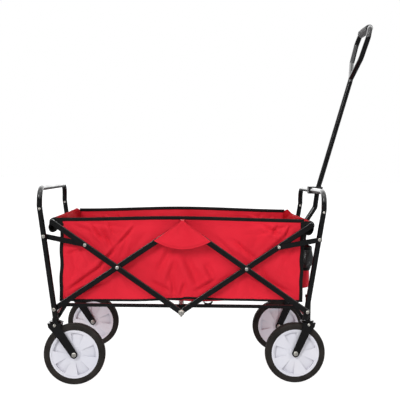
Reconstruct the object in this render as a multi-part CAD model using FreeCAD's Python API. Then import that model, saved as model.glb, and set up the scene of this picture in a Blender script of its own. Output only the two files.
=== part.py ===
"""Folding garden wagon with a fabric basket, a steel scissor frame and a pull handle.

Millimetres, +X to the pull handle (front), -Y the near side, +Z up, Z = 0 the ground. X is
measured from the middle of the scissor; the export then moves the origin to the middle of the
whole outline, from the rear push bar to the grip. Each end of the scissor has a rising bar (A at
the rear, C at the front), which turns on the lower centre tube, and a falling bar (B, D) across it.
"""
import FreeCAD, Part
import math
import os

from FreeCAD import Vector

os.makedirs("parts", exist_ok=True)

# ---- driving dimensions ----
BAR_UPPER = 227.0          # pivot to pivot along every half bar except the two below
BAR_LOWER = 218.0          # the lower halves of bars B and D
BAR_ANGLE = 34.4           # degrees above level, wagon open
BAR_HEIGHT = 16.0
BAR_THICK = 11.5
BAR_WALL = 1.4
BAR_END = 8.0              # how far the ends reach past the end pivots
BAR_END_R = 5.0            # round corners of the ends, seen from the side
BAR_EDGE_R = 1.6           # round edges along the bar
INNER_BAR_Y = 228.0        # inner face of bars B and C
OUTER_BAR_Y = 240.5        # inner face of bars A and D
LOW_PIVOT_Z = 212.0        # lower centre pivot above the ground
CENTRE_BOLT_IN_Y = 200.0   # inner end of a centre bolt, in the lower centre tube
CENTRE_WASHER_R = 9.0
CENTRE_WASHER = 1.6
CENTRE_HEAD_R = 7.0
CENTRE_HEAD = 4.0
CENTRE_HEAD_DOME = 2.0
CENTRE_TAB_HALF = 2.5      # half the width of the washer's tab
CENTRE_TAB_FROM = 7.0      # the tab's two ends below the pivot
CENTRE_TAB_TO = 12.0

TUBE_R = 8.0               # frame tubes
TUBE_WALL = 1.3
LEG_LEAN = 8.6             # degrees
LEG_KNEE_Z = 515.0         # the legs stand upright above this
LEG_BOTTOM_Z = 191.0
CROSSBAR_Z = 567.0
CORNER_R = 35.0
REAR_LEG_Y = 249.0
FRONT_LEG_Y = 232.0
LOWER_TUBE_Z = 199.3
KNEE_RIVET_Z = 507.0       # a rivet under the knee of each leg
KNEE_RIVET_HEAD_R = 3.6
TOP_CAP = 3.0              # end caps of the top tubes
TOP_CAP_DIMPLE = 1.5
LUG_THICK = 3.0            # slanting lugs of the floor bars
LUG_FOOT_X = 6.0           # the lug's foot beside and below the lower tube's centre
LUG_FOOT_Z = 8.0
LINK_LEG_Z = 428.0         # link pivot on the leg
LINK_THICK = 4.0
LINK_HEIGHT = 15.0

WHEEL_R = 89.0             # 7 inch wheels
WHEEL_WIDTH = 30.0
TYRE_SHOULDER_R = 9.0
RIM_R = 70.0
RIM_LIP = 5.0              # width of the raised lip ring
RIM_LIP_HALF_Y = 13.0
RIM_FACE_HALF_Y = 11.5
HUB_R = 17.0
HUB_HALF_Y = 14.0
POCKETS = 5                # ramped pockets on each face of a rim
POCKET_IN_R = 20.0         # where the ramp starts and ends
POCKET_OUT_R = 61.5
POCKET_DEEP = 8.0
POCKET_HALF_TURN = 17.0    # degrees
POCKET_TIP_BACK = 3.0      # the pocket's sides meet a little past the centre
REAR_RIM_TURN = 10.0       # where the first pocket of a rim stands, in degrees
FRONT_RIM_TURN = 33.0
AXLE_R = 4.0
AXLE_HEAD_R = 6.8
AXLE_HEAD = 3.0
AXLE_HEAD_DOME = 1.6
REAR_WHEEL_X = -307.0
REAR_WHEEL_Y = 248.0
FRONT_WHEEL_X = 339.0
FRONT_WHEEL_Y = 204.0
FRONT_STEM_X = 376.0
FORK_GAP = 3.0             # fork arm clear of the tyre
FORK_THICK = 4.0
PLATE_THICK = 4.0          # the fork's top plate
PLATE_HALF_X = 20.0
CROWN_R = 17.0
CROWN_HEIGHT = 4.0
ARM_THROAT_HALF = 18.0     # half widths of an arm under the plate, at its waist and at its foot
ARM_THROAT_DOWN = 8.0
ARM_WAIST_HALF = 12.5
ARM_WAIST_SHARE = 0.25     # how far down the arm the waist is
ARM_FOOT_R = 10.5
FORK_BOLT_DOWN = 3.0       # cross bolt below the plate's underside
FORK_BOLT_R = 2.5
FORK_BOLT_HEAD_R = 4.5
FORK_BOLT_HEAD = 2.5
REAR_NECK_R = 10.0
STEM_R = 5.0
REAR_YOKE_Z = 176.0        # underside of the fork's top plate
FRONT_YOKE_Z = 178.0
STEM_TOP_Z = 240.0
POST_OVER = 20.0           # how far the socket post reaches over the stem
POST_CAP_DOWN = 6.0        # the cap's skirt under the post's top
POST_CAP = 2.0
POST_CAP_R = 9.5

BASKET_HALF_X = 350.0
BASKET_WALL_Y = 220.5      # inner face of the side walls
CLOTH = 3.0
FLOOR_Z = 240.0
RIM_END_Z = 478.0
RIM_MID_Z = 488.0
END_WALL_TOP_Z = 472.0
HEM_GAP = 0.3              # sleeve clear of the top tube
HEM_CLOTH = 2.2
HEM_HALF_Y = 205.0
FLAP_Y = 253.4
FLAP_CLOTH = 2.0
FLAP_APEX_HALF = 9.0
FLAP_APEX_OVER = 9.0       # apex above the upper pivot
FLAP_REACH = 82.0
FLAP_DROP = 56.0           # corners below the upper pivot
FLAP_ARC = 16.0            # lowest point below the corners
POCKET_Y0 = 62.0
POCKET_Y1 = 194.0
POCKET_X1 = 389.0
POCKET_Z0 = 278.0
POCKET_BAND_Z = 336.0      # where the net starts
POCKET_TOP_Z = 402.0
POCKET_CLOTH = 2.0
POCKET_NET = 1.5

FLOOR_BAR_X = 338.0        # outer pivot of the floor bars
FLOOR_BAR_Z = 225.5
FLOOR_BAR_HEIGHT = 10.0
FLOOR_BAR_THICK = 5.0
FLOOR_PIN_R = 2.5
FLOOR_PIN_HEAD_R = 4.0
FLOOR_PIN_HEAD = 1.5
REAR_FLOOR_BAR_Y = 214.0
FRONT_FLOOR_BAR_Y = 208.0

HANDLE_R = 9.5
HANDLE_WALL = 1.4
HANDLE_PIVOT = (372.0, 222.0)
HANDLE_WAIST = (396.0, 466.0)
HANDLE_KNEE = (425.0, 512.0)
HANDLE_CLIP = (431.6, 567.0)
HANDLE_NECK = (531.0, 922.0)
LOOP_LENGTH = 160.0
LOOP_HALF_WIDTH = 84.0
LOOP_SHOULDER = 0.80       # shares of the loop's half width and length at its corners
LOOP_FLARE = 0.38
LOOP_CLOSE = 4.0           # where the loop comes back to the neck
HANDLE_BEND_R = 18.0
CHEEK_HEIGHT = 18.0        # cheeks of the bracket
CHEEK_THICK = 3.0
CLIP_HALF_HEIGHT = 11.5
CLIP_BACK = 11.0           # the clip behind the crossbar's centre
CLIP_AHEAD = 15.0          # and ahead of the handle's centre
CLIP_WALL = 3.0
GRIP_R = 13.5
GRIP_HALF_LENGTH = 58.0
GRIP_END_R = 4.0

RIVET_R = 3.0
RIVET_HEAD_R = 5.0
RIVET_HEAD = 2.5
RIVET_DOME = 1.2
BORE_GAP = 0.08            # running clearance of a pin
SIDE_GAP = 0.3             # clear side gap between moving pieces

# ---- derived places, X and Z ----
lean = math.tan(math.radians(LEG_LEAN))
bar_c = math.cos(math.radians(BAR_ANGLE))
bar_s = math.sin(math.radians(BAR_ANGLE))
top_x = 2.0 * BAR_UPPER * bar_c
top_z = LOW_PIVOT_Z + 2.0 * BAR_UPPER * bar_s
cross_x = BAR_UPPER * bar_c
cross_z = LOW_PIVOT_Z + BAR_UPPER * bar_s
leg_x = cross_x + BAR_LOWER * bar_c
leg_z = cross_z - BAR_LOWER * bar_s
link_bar_x = 1.5 * BAR_UPPER * bar_c
link_bar_z = LOW_PIVOT_Z + 1.5 * BAR_UPPER * bar_s
inner_out = INNER_BAR_Y + BAR_THICK
outer_out = OUTER_BAR_Y + BAR_THICK
clip_slope = (HANDLE_CLIP[0] - HANDLE_KNEE[0]) / (HANDLE_CLIP[1] - HANDLE_KNEE[1])


def leg_at(z):
    """Distance of a leg's centre line from the middle of the wagon at height z."""
    return leg_x + (min(z, LEG_KNEE_Z) - leg_z) * lean


link_leg_x = leg_at(LINK_LEG_Z)
lower_tube_x = leg_at(LOWER_TUBE_Z)
NEAR, FAR = -1, 1
REAR, FRONT = -1, 1


# ---- helpers ----
def rod_y(x, z, r, y0, y1):
    """A cylinder along Y between two distances from the middle plane, far side."""
    return Part.makeCylinder(r, y1 - y0, Vector(x, y0, z), Vector(0, 1, 0))


def rod_z(x, y, r, z0, z1):
    return Part.makeCylinder(r, z1 - z0, Vector(x, y, z0), Vector(0, 0, 1))


def box(x0, x1, y0, y1, z0, z1):
    return Part.makeBox(x1 - x0, y1 - y0, z1 - z0, Vector(x0, y0, z0))


def to_side(shape, side):
    """The far side shape itself, or its mirror image on the near side."""
    if side == FAR:
        return shape
    return shape.mirror(Vector(0, 0, 0), Vector(0, 1, 0))


def to_end(shape, end):
    """The front end shape itself, or its mirror image at the rear."""
    if end == FRONT:
        return shape
    return shape.mirror(Vector(0, 0, 0), Vector(1, 0, 0))


def both(shape):
    return Part.makeCompound([to_side(shape, NEAR), shape])


def fuse(shapes):
    joined = shapes[0].multiFuse(shapes[1:]) if len(shapes) > 1 else shapes[0]
    return joined.removeSplitter()


def path_of(points, radius):
    """A wire through the points, with each inner corner rounded to the radius."""
    edges = []
    start = points[0]
    for before, corner, after in zip(points, points[1:], points[2:]):
        back = (before - corner).normalize()
        ahead = (after - corner).normalize()
        half = back.getAngle(ahead) / 2.0
        cut = radius / math.tan(half)
        p0 = corner + back * cut
        p1 = corner + ahead * cut
        middle = corner + (back + ahead).normalize() * (radius / math.sin(half) - radius)
        edges.append(Part.makeLine(start, p0))
        edges.append(Part.Arc(p0, middle, p1).toShape())
        start = p1
    edges.append(Part.makeLine(start, points[-1]))
    return Part.Wire(edges)


def swept(path, r):
    """A round bar of radius r along a wire."""
    first = path.Edges[0]
    at = first.valueAt(first.FirstParameter)
    way = first.tangentAt(first.FirstParameter)
    ring = Part.Wire(Part.makeCircle(r, at, way))
    return path.makePipeShell([ring], True, False)


def tube(path, r, wall):
    return swept(path, r).cut(swept(path, r - wall))


def stadium(x0, z0, x1, z1, height, y0, y1):
    """A flat bar with round ends between two pivots in the XZ plane."""
    length = math.hypot(x1 - x0, z1 - z0)
    ux, uz = (x1 - x0) / length, (z1 - z0) / length
    nx, nz = -uz * height / 2.0, ux * height / 2.0
    a = Vector(x0 + nx, y0, z0 + nz)
    b = Vector(x1 + nx, y0, z1 + nz)
    c = Vector(x1 - nx, y0, z1 - nz)
    d = Vector(x0 - nx, y0, z0 - nz)
    tip1 = Vector(x1 + ux * height / 2.0, y0, z1 + uz * height / 2.0)
    tip0 = Vector(x0 - ux * height / 2.0, y0, z0 - uz * height / 2.0)
    outline = Part.Wire([
        Part.makeLine(a, b),
        Part.Arc(b, tip1, c).toShape(),
        Part.makeLine(c, d),
        Part.Arc(d, tip0, a).toShape(),
    ])
    return Part.Face(outline).extrude(Vector(0, y1 - y0, 0))


def beam(x0, z0, x1, z1, height, y0, y1, over):
    """A straight bar with square ends, which reach past both points."""
    length = math.hypot(x1 - x0, z1 - z0)
    bar = Part.makeBox(length + 2.0 * over, y1 - y0, height, Vector(-over, y0, -height / 2.0))
    turn = math.degrees(math.atan2(z1 - z0, x1 - x0))
    bar.rotate(Vector(0, 0, 0), Vector(0, -1, 0), turn)
    bar.translate(Vector(x0, 0, z0))
    return bar


def scissor_bar(pivots, y0, bores):
    """A rectangular steel tube, closed at its ends, with the bores of three pivots."""
    (x0, z0), (xm, zm), (x1, z1) = pivots
    bar = beam(x0, z0, x1, z1, BAR_HEIGHT, y0, y0 + BAR_THICK, BAR_END)
    bar = bar.makeFillet(BAR_END_R, [e for e in bar.Edges if e.BoundBox.YLength > 1.0])
    bar = bar.makeFillet(BAR_EDGE_R, [e for e in bar.Edges if e.BoundBox.YLength < 0.01])
    for (xa, za), (xb, zb) in (((x0, z0), (xm, zm)), ((xm, zm), (x1, z1))):
        length = math.hypot(xb - xa, zb - za)
        ux, uz = (xb - xa) / length, (zb - za) / length
        gap = BAR_HEIGHT
        void = stadium(xa + ux * gap, za + uz * gap, xb - ux * gap, zb - uz * gap,
                       BAR_HEIGHT - 2.0 * BAR_WALL, y0 + BAR_WALL, y0 + BAR_THICK - BAR_WALL)
        bar = bar.cut(void)
    for (x, z), r in zip(pivots, bores):
        if r > 0.0:
            bar = bar.cut(rod_y(x, z, r, y0 - 1.0, y0 + BAR_THICK + 1.0))
    return bar


def rivet(x, z, y0, y1, inner_head=True, outer_head=True, head_r=RIVET_HEAD_R):
    """A rivet along Y: its shank fills y0 to y1, and its domed heads stand outside."""
    parts = [rod_y(x, z, RIVET_R, y0, y1)]
    if inner_head:
        parts.append(rod_y(x, z, head_r, y0 - RIVET_HEAD, y0))
    if outer_head:
        head = rod_y(x, z, head_r, y1, y1 + RIVET_HEAD)
        rim = [e for e in head.Edges if abs(e.BoundBox.YMax - y1 - RIVET_HEAD) < 0.01]
        parts.append(head.makeFillet(RIVET_DOME, [e for e in rim if e.BoundBox.YLength < 0.01]))
    return fuse(parts)


nodes = {}


def put(name, shape):
    nodes[name] = shape


# ---- lower centre tube with its two big bolts ----
lower_tube_end = INNER_BAR_Y - SIDE_GAP
centre_outer = rod_y(0.0, LOW_PIVOT_Z, TUBE_R, -lower_tube_end, lower_tube_end)
centre_bore = rod_y(0.0, LOW_PIVOT_Z, AXLE_R, -lower_tube_end, lower_tube_end)
put("lower_centre_tube", centre_outer.cut(centre_bore))


def centre_bolt():
    """One end of the through bolt: shank, washer with a small tab, and a domed head."""
    washer_in = outer_out + SIDE_GAP
    washer_out = washer_in + CENTRE_WASHER
    shank = rod_y(0.0, LOW_PIVOT_Z, AXLE_R, CENTRE_BOLT_IN_Y, washer_out)
    washer = rod_y(0.0, LOW_PIVOT_Z, CENTRE_WASHER_R, washer_in, washer_out)
    tab = box(-CENTRE_TAB_HALF, CENTRE_TAB_HALF, washer_in, washer_out,
              LOW_PIVOT_Z - CENTRE_TAB_TO, LOW_PIVOT_Z - CENTRE_TAB_FROM)
    head = rod_y(0.0, LOW_PIVOT_Z, CENTRE_HEAD_R, washer_out, washer_out + CENTRE_HEAD)
    outer = [e for e in head.Edges if e.BoundBox.YMin > washer_out + CENTRE_HEAD - 0.1]
    return fuse([shank, washer, tab, head.makeFillet(CENTRE_HEAD_DOME, outer)])


put("lower_centre_bolts", both(centre_bolt()))

# ---- scissor bars ----
low_centre = (0.0, LOW_PIVOT_Z)
high_centre = (0.0, top_z)
bolt_bore = AXLE_R + BORE_GAP
pin_bore = RIVET_R + BORE_GAP

for side, word in ((NEAR, "near"), (FAR, "far")):
    for end, rising, falling in ((REAR, "a", "b"), (FRONT, "c", "d")):
        # the rising bar runs from the lower centre tube to the top tube at its end
        pivots = [low_centre, (end * cross_x, cross_z), (end * top_x, top_z)]
        rising_y = OUTER_BAR_Y if end == REAR else INNER_BAR_Y
        bar = scissor_bar(pivots, rising_y, (bolt_bore, RIVET_R, 0.0))
        link_pin = rod_y(end * link_bar_x, link_bar_z, RIVET_R, rising_y - 1, rising_y + 99)
        put(f"bar_{rising}_{word}", to_side(bar.cut(link_pin), side))
        # the falling bar runs from the upper centre pivot to the leg at its end
        pivots = [high_centre, (end * cross_x, cross_z), (end * leg_x, leg_z)]
        falling_y = INNER_BAR_Y if end == REAR else OUTER_BAR_Y
        upper_bore = RIVET_R if end == REAR else pin_bore
        bar = scissor_bar(pivots, falling_y, (upper_bore, pin_bore, pin_bore))
        put(f"bar_{falling}_{word}", to_side(bar, side))

# ---- rivets of the scissor, each with the bar that it is fast in ----
rivets_a = [
    rivet(-cross_x, cross_z, INNER_BAR_Y - SIDE_GAP, outer_out),
    rivet(-link_bar_x, link_bar_z, OUTER_BAR_Y, outer_out, inner_head=False),
]
rivets_c = [
    rivet(cross_x, cross_z, INNER_BAR_Y, outer_out + SIDE_GAP),
    rivet(link_bar_x, link_bar_z, INNER_BAR_Y, inner_out, outer_head=False),
]
put("rivets_a", both(Part.makeCompound(rivets_a)))
put("rivets_c", both(Part.makeCompound(rivets_c)))
upper_pin = rod_y(0.0, top_z, RIVET_R, INNER_BAR_Y, outer_out)
upper_head = rod_y(0.0, top_z, RIVET_HEAD_R, INNER_BAR_Y - RIVET_HEAD, INNER_BAR_Y)
put("upper_centre_pins", both(fuse([upper_pin, upper_head])))


# ---- top tubes at the ends, with pressed end caps outside the bars ----
def top_tube(end):
    bar_in = OUTER_BAR_Y if end == REAR else INNER_BAR_Y
    bar_out = bar_in + BAR_THICK
    x = end * top_x
    length = rod_y(x, top_z, TUBE_R, -bar_in, bar_in)
    hollow = rod_y(x, top_z, TUBE_R - TUBE_WALL, -bar_in, bar_in)
    cap = rod_y(x, top_z, TUBE_R, bar_out, bar_out + TOP_CAP)
    dimple = rod_y(x, top_z, TUBE_R - TOP_CAP, bar_out + TOP_CAP_DIMPLE, bar_out + TOP_CAP)
    cap = cap.cut(dimple)
    return Part.makeCompound([length.cut(hollow), cap, to_side(cap, NEAR)])


put("top_tube_rear", top_tube(REAR))
put("top_tube_front", top_tube(FRONT))


# ---- the two upright U frames ----
def push_tube(end, leg_y):
    """One bent tube: leaning legs, upright tops and the crossbar with round corners."""
    low_z = LEG_BOTTOM_Z - TUBE_R
    x_top = end * leg_at(LEG_KNEE_Z)
    x_knee = Vector(x_top, leg_y, LEG_KNEE_Z)
    half = [Vector(end * leg_at(low_z), leg_y, low_z), x_knee, Vector(x_top, leg_y, CROSSBAR_Z)]
    other = [Vector(p.x, -p.y, p.z) for p in reversed(half)]
    shape = tube(path_of(half + other, CORNER_R), TUBE_R, TUBE_WALL)
    shape = shape.cut(box(-500.0, 500.0, -300.0, 300.0, 100.0, LEG_BOTTOM_Z))
    for z in (leg_z, LINK_LEG_Z, KNEE_RIVET_Z):
        shape = shape.cut(rod_y(end * leg_at(z), z, RIVET_R, -300.0, 300.0))
    return shape


put("rear_push_tube", push_tube(REAR, REAR_LEG_Y))
put("front_push_tube", push_tube(FRONT, FRONT_LEG_Y))

# rear legs stand outside bar B and the link, front legs stand inside bar D and the link
rear_out = REAR_LEG_Y + TUBE_R
front_in = FRONT_LEG_Y - TUBE_R
rear_rivets = [
    rivet(-leg_x, leg_z, INNER_BAR_Y - SIDE_GAP, rear_out),
    rivet(-link_leg_x, LINK_LEG_Z, inner_out - LINK_THICK - SIDE_GAP, rear_out),
    rivet(-leg_at(KNEE_RIVET_Z), KNEE_RIVET_Z, REAR_LEG_Y - TUBE_R, rear_out,
          head_r=KNEE_RIVET_HEAD_R),
]
front_rivets = [
    rivet(leg_x, leg_z, front_in, outer_out + SIDE_GAP),
    rivet(link_leg_x, LINK_LEG_Z, front_in, OUTER_BAR_Y + LINK_THICK + SIDE_GAP),
    rivet(leg_at(KNEE_RIVET_Z), KNEE_RIVET_Z, front_in, FRONT_LEG_Y + TUBE_R,
          head_r=KNEE_RIVET_HEAD_R),
]
put("rear_rivets", both(Part.makeCompound(rear_rivets)))
put("front_rivets", both(Part.makeCompound(front_rivets)))


# ---- lower cross tubes with the lugs of the floor bars ----
def lug(end, y0):
    """A slanting lug from the lower cross tube up to the floor bar's outer pivot."""
    plate = stadium(end * (lower_tube_x - LUG_FOOT_X), LOWER_TUBE_Z - LUG_FOOT_Z, end * FLOOR_BAR_X,
                    FLOOR_BAR_Z, FLOOR_BAR_HEIGHT, y0, y0 + LUG_THICK)
    return plate.cut(rod_y(end * lower_tube_x, LOWER_TUBE_Z, TUBE_R, y0 - 1.0, y0 + LUG_THICK + 1.0))


def floor_pin(end, bar_y):
    """The lug's own pin, which the floor bar turns on."""
    lug_y = bar_y + FLOOR_BAR_THICK + SIDE_GAP
    head_y = bar_y - SIDE_GAP
    shank = rod_y(end * FLOOR_BAR_X, FLOOR_BAR_Z, FLOOR_PIN_R, head_y, lug_y)
    head = rod_y(end * FLOOR_BAR_X, FLOOR_BAR_Z, FLOOR_PIN_HEAD_R, head_y - FLOOR_PIN_HEAD, head_y)
    return fuse([shank, head])


def lower_tube(end, leg_y, bar_y):
    """The tube between the feet of two legs, with the floor bar lugs and their pins."""
    reach = leg_y - 0.5
    x = end * lower_tube_x
    body = rod_y(x, LOWER_TUBE_Z, TUBE_R, -reach, reach)
    body = body.cut(rod_y(x, LOWER_TUBE_Z, TUBE_R - TUBE_WALL, -reach, reach))
    for side in (NEAR, FAR):
        foot = Vector(end * leg_at(LEG_BOTTOM_Z), side * leg_y, LEG_BOTTOM_Z)
        knee = Vector(end * leg_at(LEG_KNEE_Z), side * leg_y, LEG_KNEE_Z)
        body = body.cut(swept(Part.Wire(Part.makeLine(foot - (knee - foot) * 0.1, knee)), TUBE_R))
        if end == FRONT:
            body = body.cut(rod_z(FRONT_STEM_X, side * FRONT_WHEEL_Y, TUBE_R, 150.0, 300.0))
    pieces = [body]
    lug_y = bar_y + FLOOR_BAR_THICK + SIDE_GAP
    for side in (NEAR, FAR):
        pieces.append(to_side(fuse([lug(end, lug_y), floor_pin(end, bar_y)]), side))
    return Part.makeCompound(pieces)


put("rear_lower_tube", lower_tube(REAR, REAR_LEG_Y, REAR_FLOOR_BAR_Y))
put("front_lower_tube", lower_tube(FRONT, FRONT_LEG_Y, FRONT_FLOOR_BAR_Y))


# ---- links from the legs to the rising bars ----
def link(end):
    """A flat link: pivoted on the leg's rivet, and level with the bar's rivet at its tip."""
    if end == REAR:
        y1 = inner_out
        y0 = y1 - LINK_THICK
        tip = rivet(end * link_bar_x, link_bar_z, y0, y1, outer_head=False)
    else:
        y0 = OUTER_BAR_Y
        y1 = y0 + LINK_THICK
        tip = rivet(end * link_bar_x, link_bar_z, y0, y1, inner_head=False)
    strip = stadium(end * link_leg_x, LINK_LEG_Z, end * link_bar_x, link_bar_z,
                    LINK_HEIGHT, y0, y1)
    strip = strip.cut(rod_y(end * link_leg_x, LINK_LEG_Z, pin_bore, y0 - 1.0, y1 + 1.0))
    return both(fuse([strip, tip]))


put("rear_links", link(REAR))
put("front_links", link(FRONT))


# ---- folding floor bars ----
def floor_bars(end, y0):
    strip = stadium(end * FLOOR_BAR_X, FLOOR_BAR_Z, 0.0, FLOOR_BAR_Z, FLOOR_BAR_HEIGHT,
                    y0, y0 + FLOOR_BAR_THICK)
    strip = strip.cut(rod_y(end * FLOOR_BAR_X, FLOOR_BAR_Z, FLOOR_PIN_R + BORE_GAP, y0 - 1, y0 + 9))
    if end == REAR:
        strip = fuse([strip, rod_y(0.0, FLOOR_BAR_Z, RIVET_HEAD_R, y0 + FLOOR_BAR_THICK,
                                   y0 + FLOOR_BAR_THICK + RIVET_HEAD)])
    return both(strip)


put("rear_floor_bars", floor_bars(REAR, REAR_FLOOR_BAR_Y))
put("front_floor_bars", floor_bars(FRONT, FRONT_FLOOR_BAR_Y))


# ---- wheels ----
def tyre(x, y):
    """A solid tyre with rounded shoulders on the rim's outer face."""
    outer = rod_y(x, WHEEL_R, WHEEL_R, y - WHEEL_WIDTH / 2.0, y + WHEEL_WIDTH / 2.0)
    outer = outer.makeFillet(TYRE_SHOULDER_R, [e for e in outer.Edges if e.BoundBox.YLength < 0.01])
    return outer.cut(rod_y(x, WHEEL_R, RIM_R, y - WHEEL_WIDTH, y + WHEEL_WIDTH))


def rim(x, y, turned):
    """A moulded rim: lip ring, nearly flat disc, and five pockets on each face that deepen outwards."""
    face = RIM_FACE_HALF_Y
    whole = rod_y(x, WHEEL_R, RIM_R, y - RIM_LIP_HALF_Y, y + RIM_LIP_HALF_Y)
    dish = rod_y(x, WHEEL_R, RIM_R - RIM_LIP, 0.0, 40.0)
    hub = rod_y(x, WHEEL_R, HUB_R, y - HUB_HALF_Y, y + HUB_HALF_Y)
    for way in (-1, 1):
        cut = dish.copy()
        cut.translate(Vector(0, y + face if way > 0 else y - face - 40.0, 0))
        whole = whole.cut(cut)
        edge = Part.makePolygon([
            Vector(x + POCKET_IN_R, y + way * (face + 0.5), WHEEL_R),
            Vector(x + POCKET_OUT_R, y + way * (face + 0.5), WHEEL_R),
            Vector(x + POCKET_OUT_R, y + way * (face - POCKET_DEEP), WHEEL_R),
            Vector(x + POCKET_IN_R, y + way * (face + 0.5), WHEEL_R),
        ])
        ramp = Part.Face(edge).revolve(Vector(x, y, WHEEL_R), Vector(0, 1, 0), 360.0)
        for n in range(POCKETS):
            mid = math.radians(turned + 360.0 / POCKETS * n)
            out = Vector(math.cos(mid), 0, math.sin(mid))
            tip = Vector(x, y - 40.0, WHEEL_R) - out * POCKET_TIP_BACK
            corners = [tip]
            for turn in (-POCKET_HALF_TURN, POCKET_HALF_TURN):
                a = mid + math.radians(turn)
                corners.append(tip + Vector(math.cos(a), 0, math.sin(a)) * (2.0 * RIM_R))
            sector = Part.Face(Part.makePolygon(corners + [tip])).extrude(Vector(0, 80.0, 0))
            whole = whole.cut(ramp.common(sector))
    whole = fuse([whole, hub])
    return whole.cut(rod_y(x, WHEEL_R, AXLE_R + BORE_GAP, y - 30.0, y + 30.0))


wheel_places = {
    "rear_near": (REAR_WHEEL_X, -REAR_WHEEL_Y, REAR_RIM_TURN),
    "rear_far": (REAR_WHEEL_X, REAR_WHEEL_Y, REAR_RIM_TURN),
    "front_near": (FRONT_WHEEL_X, -FRONT_WHEEL_Y, FRONT_RIM_TURN),
    "front_far": (FRONT_WHEEL_X, FRONT_WHEEL_Y, FRONT_RIM_TURN),
}
for word, (x, y, turned) in wheel_places.items():
    put(f"tyre_{word}", tyre(x, y))
    put(f"rim_{word}", rim(x, y, turned))


# ---- forks and axles ----
def fork(stem_x, x, y, yoke_z, neck_top, neck_r):
    """A pressed fork: neck, round crown, top plate over the tyre, two raked arms, cross bolt."""
    arm_in = WHEEL_WIDTH / 2.0 + FORK_GAP
    arm_out = arm_in + FORK_THICK
    plate_top = yoke_z + PLATE_THICK
    neck_low = plate_top + CROWN_HEIGHT
    crown = rod_z(stem_x, y, CROWN_R, plate_top, neck_low)
    neck = rod_z(stem_x, y, neck_r, neck_low, neck_top)
    plate = box(stem_x - PLATE_HALF_X, stem_x + PLATE_HALF_X, y - arm_out, y + arm_out, yoke_z, plate_top)
    pieces = [crown, neck, plate]
    for way in (-1, 1):
        y0 = y + way * arm_in if way > 0 else y - arm_out
        throat = Vector(stem_x, y0, yoke_z - PLATE_THICK)
        foot = Vector(x, y0, WHEEL_R)
        down = (foot - throat).normalize()
        across = Vector(down.z, 0, -down.x)
        waist = throat + (foot - throat) * ARM_WAIST_SHARE
        loop = [
            Vector(stem_x - PLATE_HALF_X, y0, plate_top),
            Vector(stem_x - ARM_THROAT_HALF, y0, yoke_z - ARM_THROAT_DOWN),
            waist + across * ARM_WAIST_HALF,
            foot + across * ARM_FOOT_R,
            foot - across * ARM_FOOT_R,
            waist - across * ARM_WAIST_HALF,
            Vector(stem_x + ARM_THROAT_HALF, y0, yoke_z - ARM_THROAT_DOWN),
            Vector(stem_x + PLATE_HALF_X, y0, plate_top),
        ]
        arm = Part.Face(Part.makePolygon(loop + [loop[0]])).extrude(Vector(0, FORK_THICK, 0))
        pieces += [arm, rod_y(x, WHEEL_R, ARM_FOOT_R, y0, y0 + FORK_THICK)]
    bolt_z = yoke_z - FORK_BOLT_DOWN
    bolt_out = arm_out + FORK_BOLT_HEAD
    pieces.append(rod_y(stem_x, bolt_z, FORK_BOLT_R, y - bolt_out, y + bolt_out))
    pieces.append(rod_y(stem_x, bolt_z, FORK_BOLT_HEAD_R, y - bolt_out, y - arm_out))
    pieces.append(rod_y(stem_x, bolt_z, FORK_BOLT_HEAD_R, y + arm_out, y + bolt_out))
    return fuse(pieces).cut(rod_y(x, WHEEL_R, AXLE_R, y - 40.0, y + 40.0))


def axle(x, y):
    """An axle bolt through hub and fork, with a low domed head at each end."""
    out = WHEEL_WIDTH / 2.0 + FORK_GAP + FORK_THICK
    shank = rod_y(x, WHEEL_R, AXLE_R, y - out, y + out)
    parts = [shank]
    for y0, y1 in ((y - out - AXLE_HEAD, y - out), (y + out, y + out + AXLE_HEAD)):
        head = rod_y(x, WHEEL_R, AXLE_HEAD_R, y0, y1)
        tip = y0 if y0 < y else y1
        rims = [e for e in head.Edges if abs(e.valueAt(e.FirstParameter).y - tip) < 0.01
                and e.BoundBox.YLength < 0.01]
        parts.append(head.makeFillet(AXLE_HEAD_DOME, rims))
    return fuse(parts)


rear_stem_x = -leg_at(LEG_BOTTOM_Z)
for word, side in (("near", NEAR), ("far", FAR)):
    y = side * REAR_WHEEL_Y
    rear_fork = fork(rear_stem_x, REAR_WHEEL_X, y, REAR_YOKE_Z, LEG_BOTTOM_Z, REAR_NECK_R)
    put(f"rear_fork_{word}", rear_fork)
put("rear_axles", both(axle(REAR_WHEEL_X, REAR_WHEEL_Y)))
crown_top = FRONT_YOKE_Z + PLATE_THICK + CROWN_HEIGHT
for word, side in (("near", NEAR), ("far", FAR)):
    y = side * FRONT_WHEEL_Y
    front_fork = fork(FRONT_STEM_X, FRONT_WHEEL_X, y, FRONT_YOKE_Z, STEM_TOP_Z, STEM_R)
    put(f"front_fork_{word}", front_fork)
    put(f"front_axle_{word}", axle(FRONT_WHEEL_X, y))


def stem_post():
    """The upright socket tube that a front fork's stem turns in, closed by a cap."""
    low = crown_top + SIDE_GAP
    high = STEM_TOP_Z + POST_OVER
    post = rod_z(FRONT_STEM_X, FRONT_WHEEL_Y, TUBE_R, low, high)
    cap = rod_z(FRONT_STEM_X, FRONT_WHEEL_Y, POST_CAP_R, high - POST_CAP_DOWN, high + POST_CAP)
    bore = rod_z(FRONT_STEM_X, FRONT_WHEEL_Y, STEM_R + BORE_GAP, low, STEM_TOP_Z + SIDE_GAP)
    return fuse([post, cap]).cut(bore)


put("stem_posts", both(stem_post()))


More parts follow.
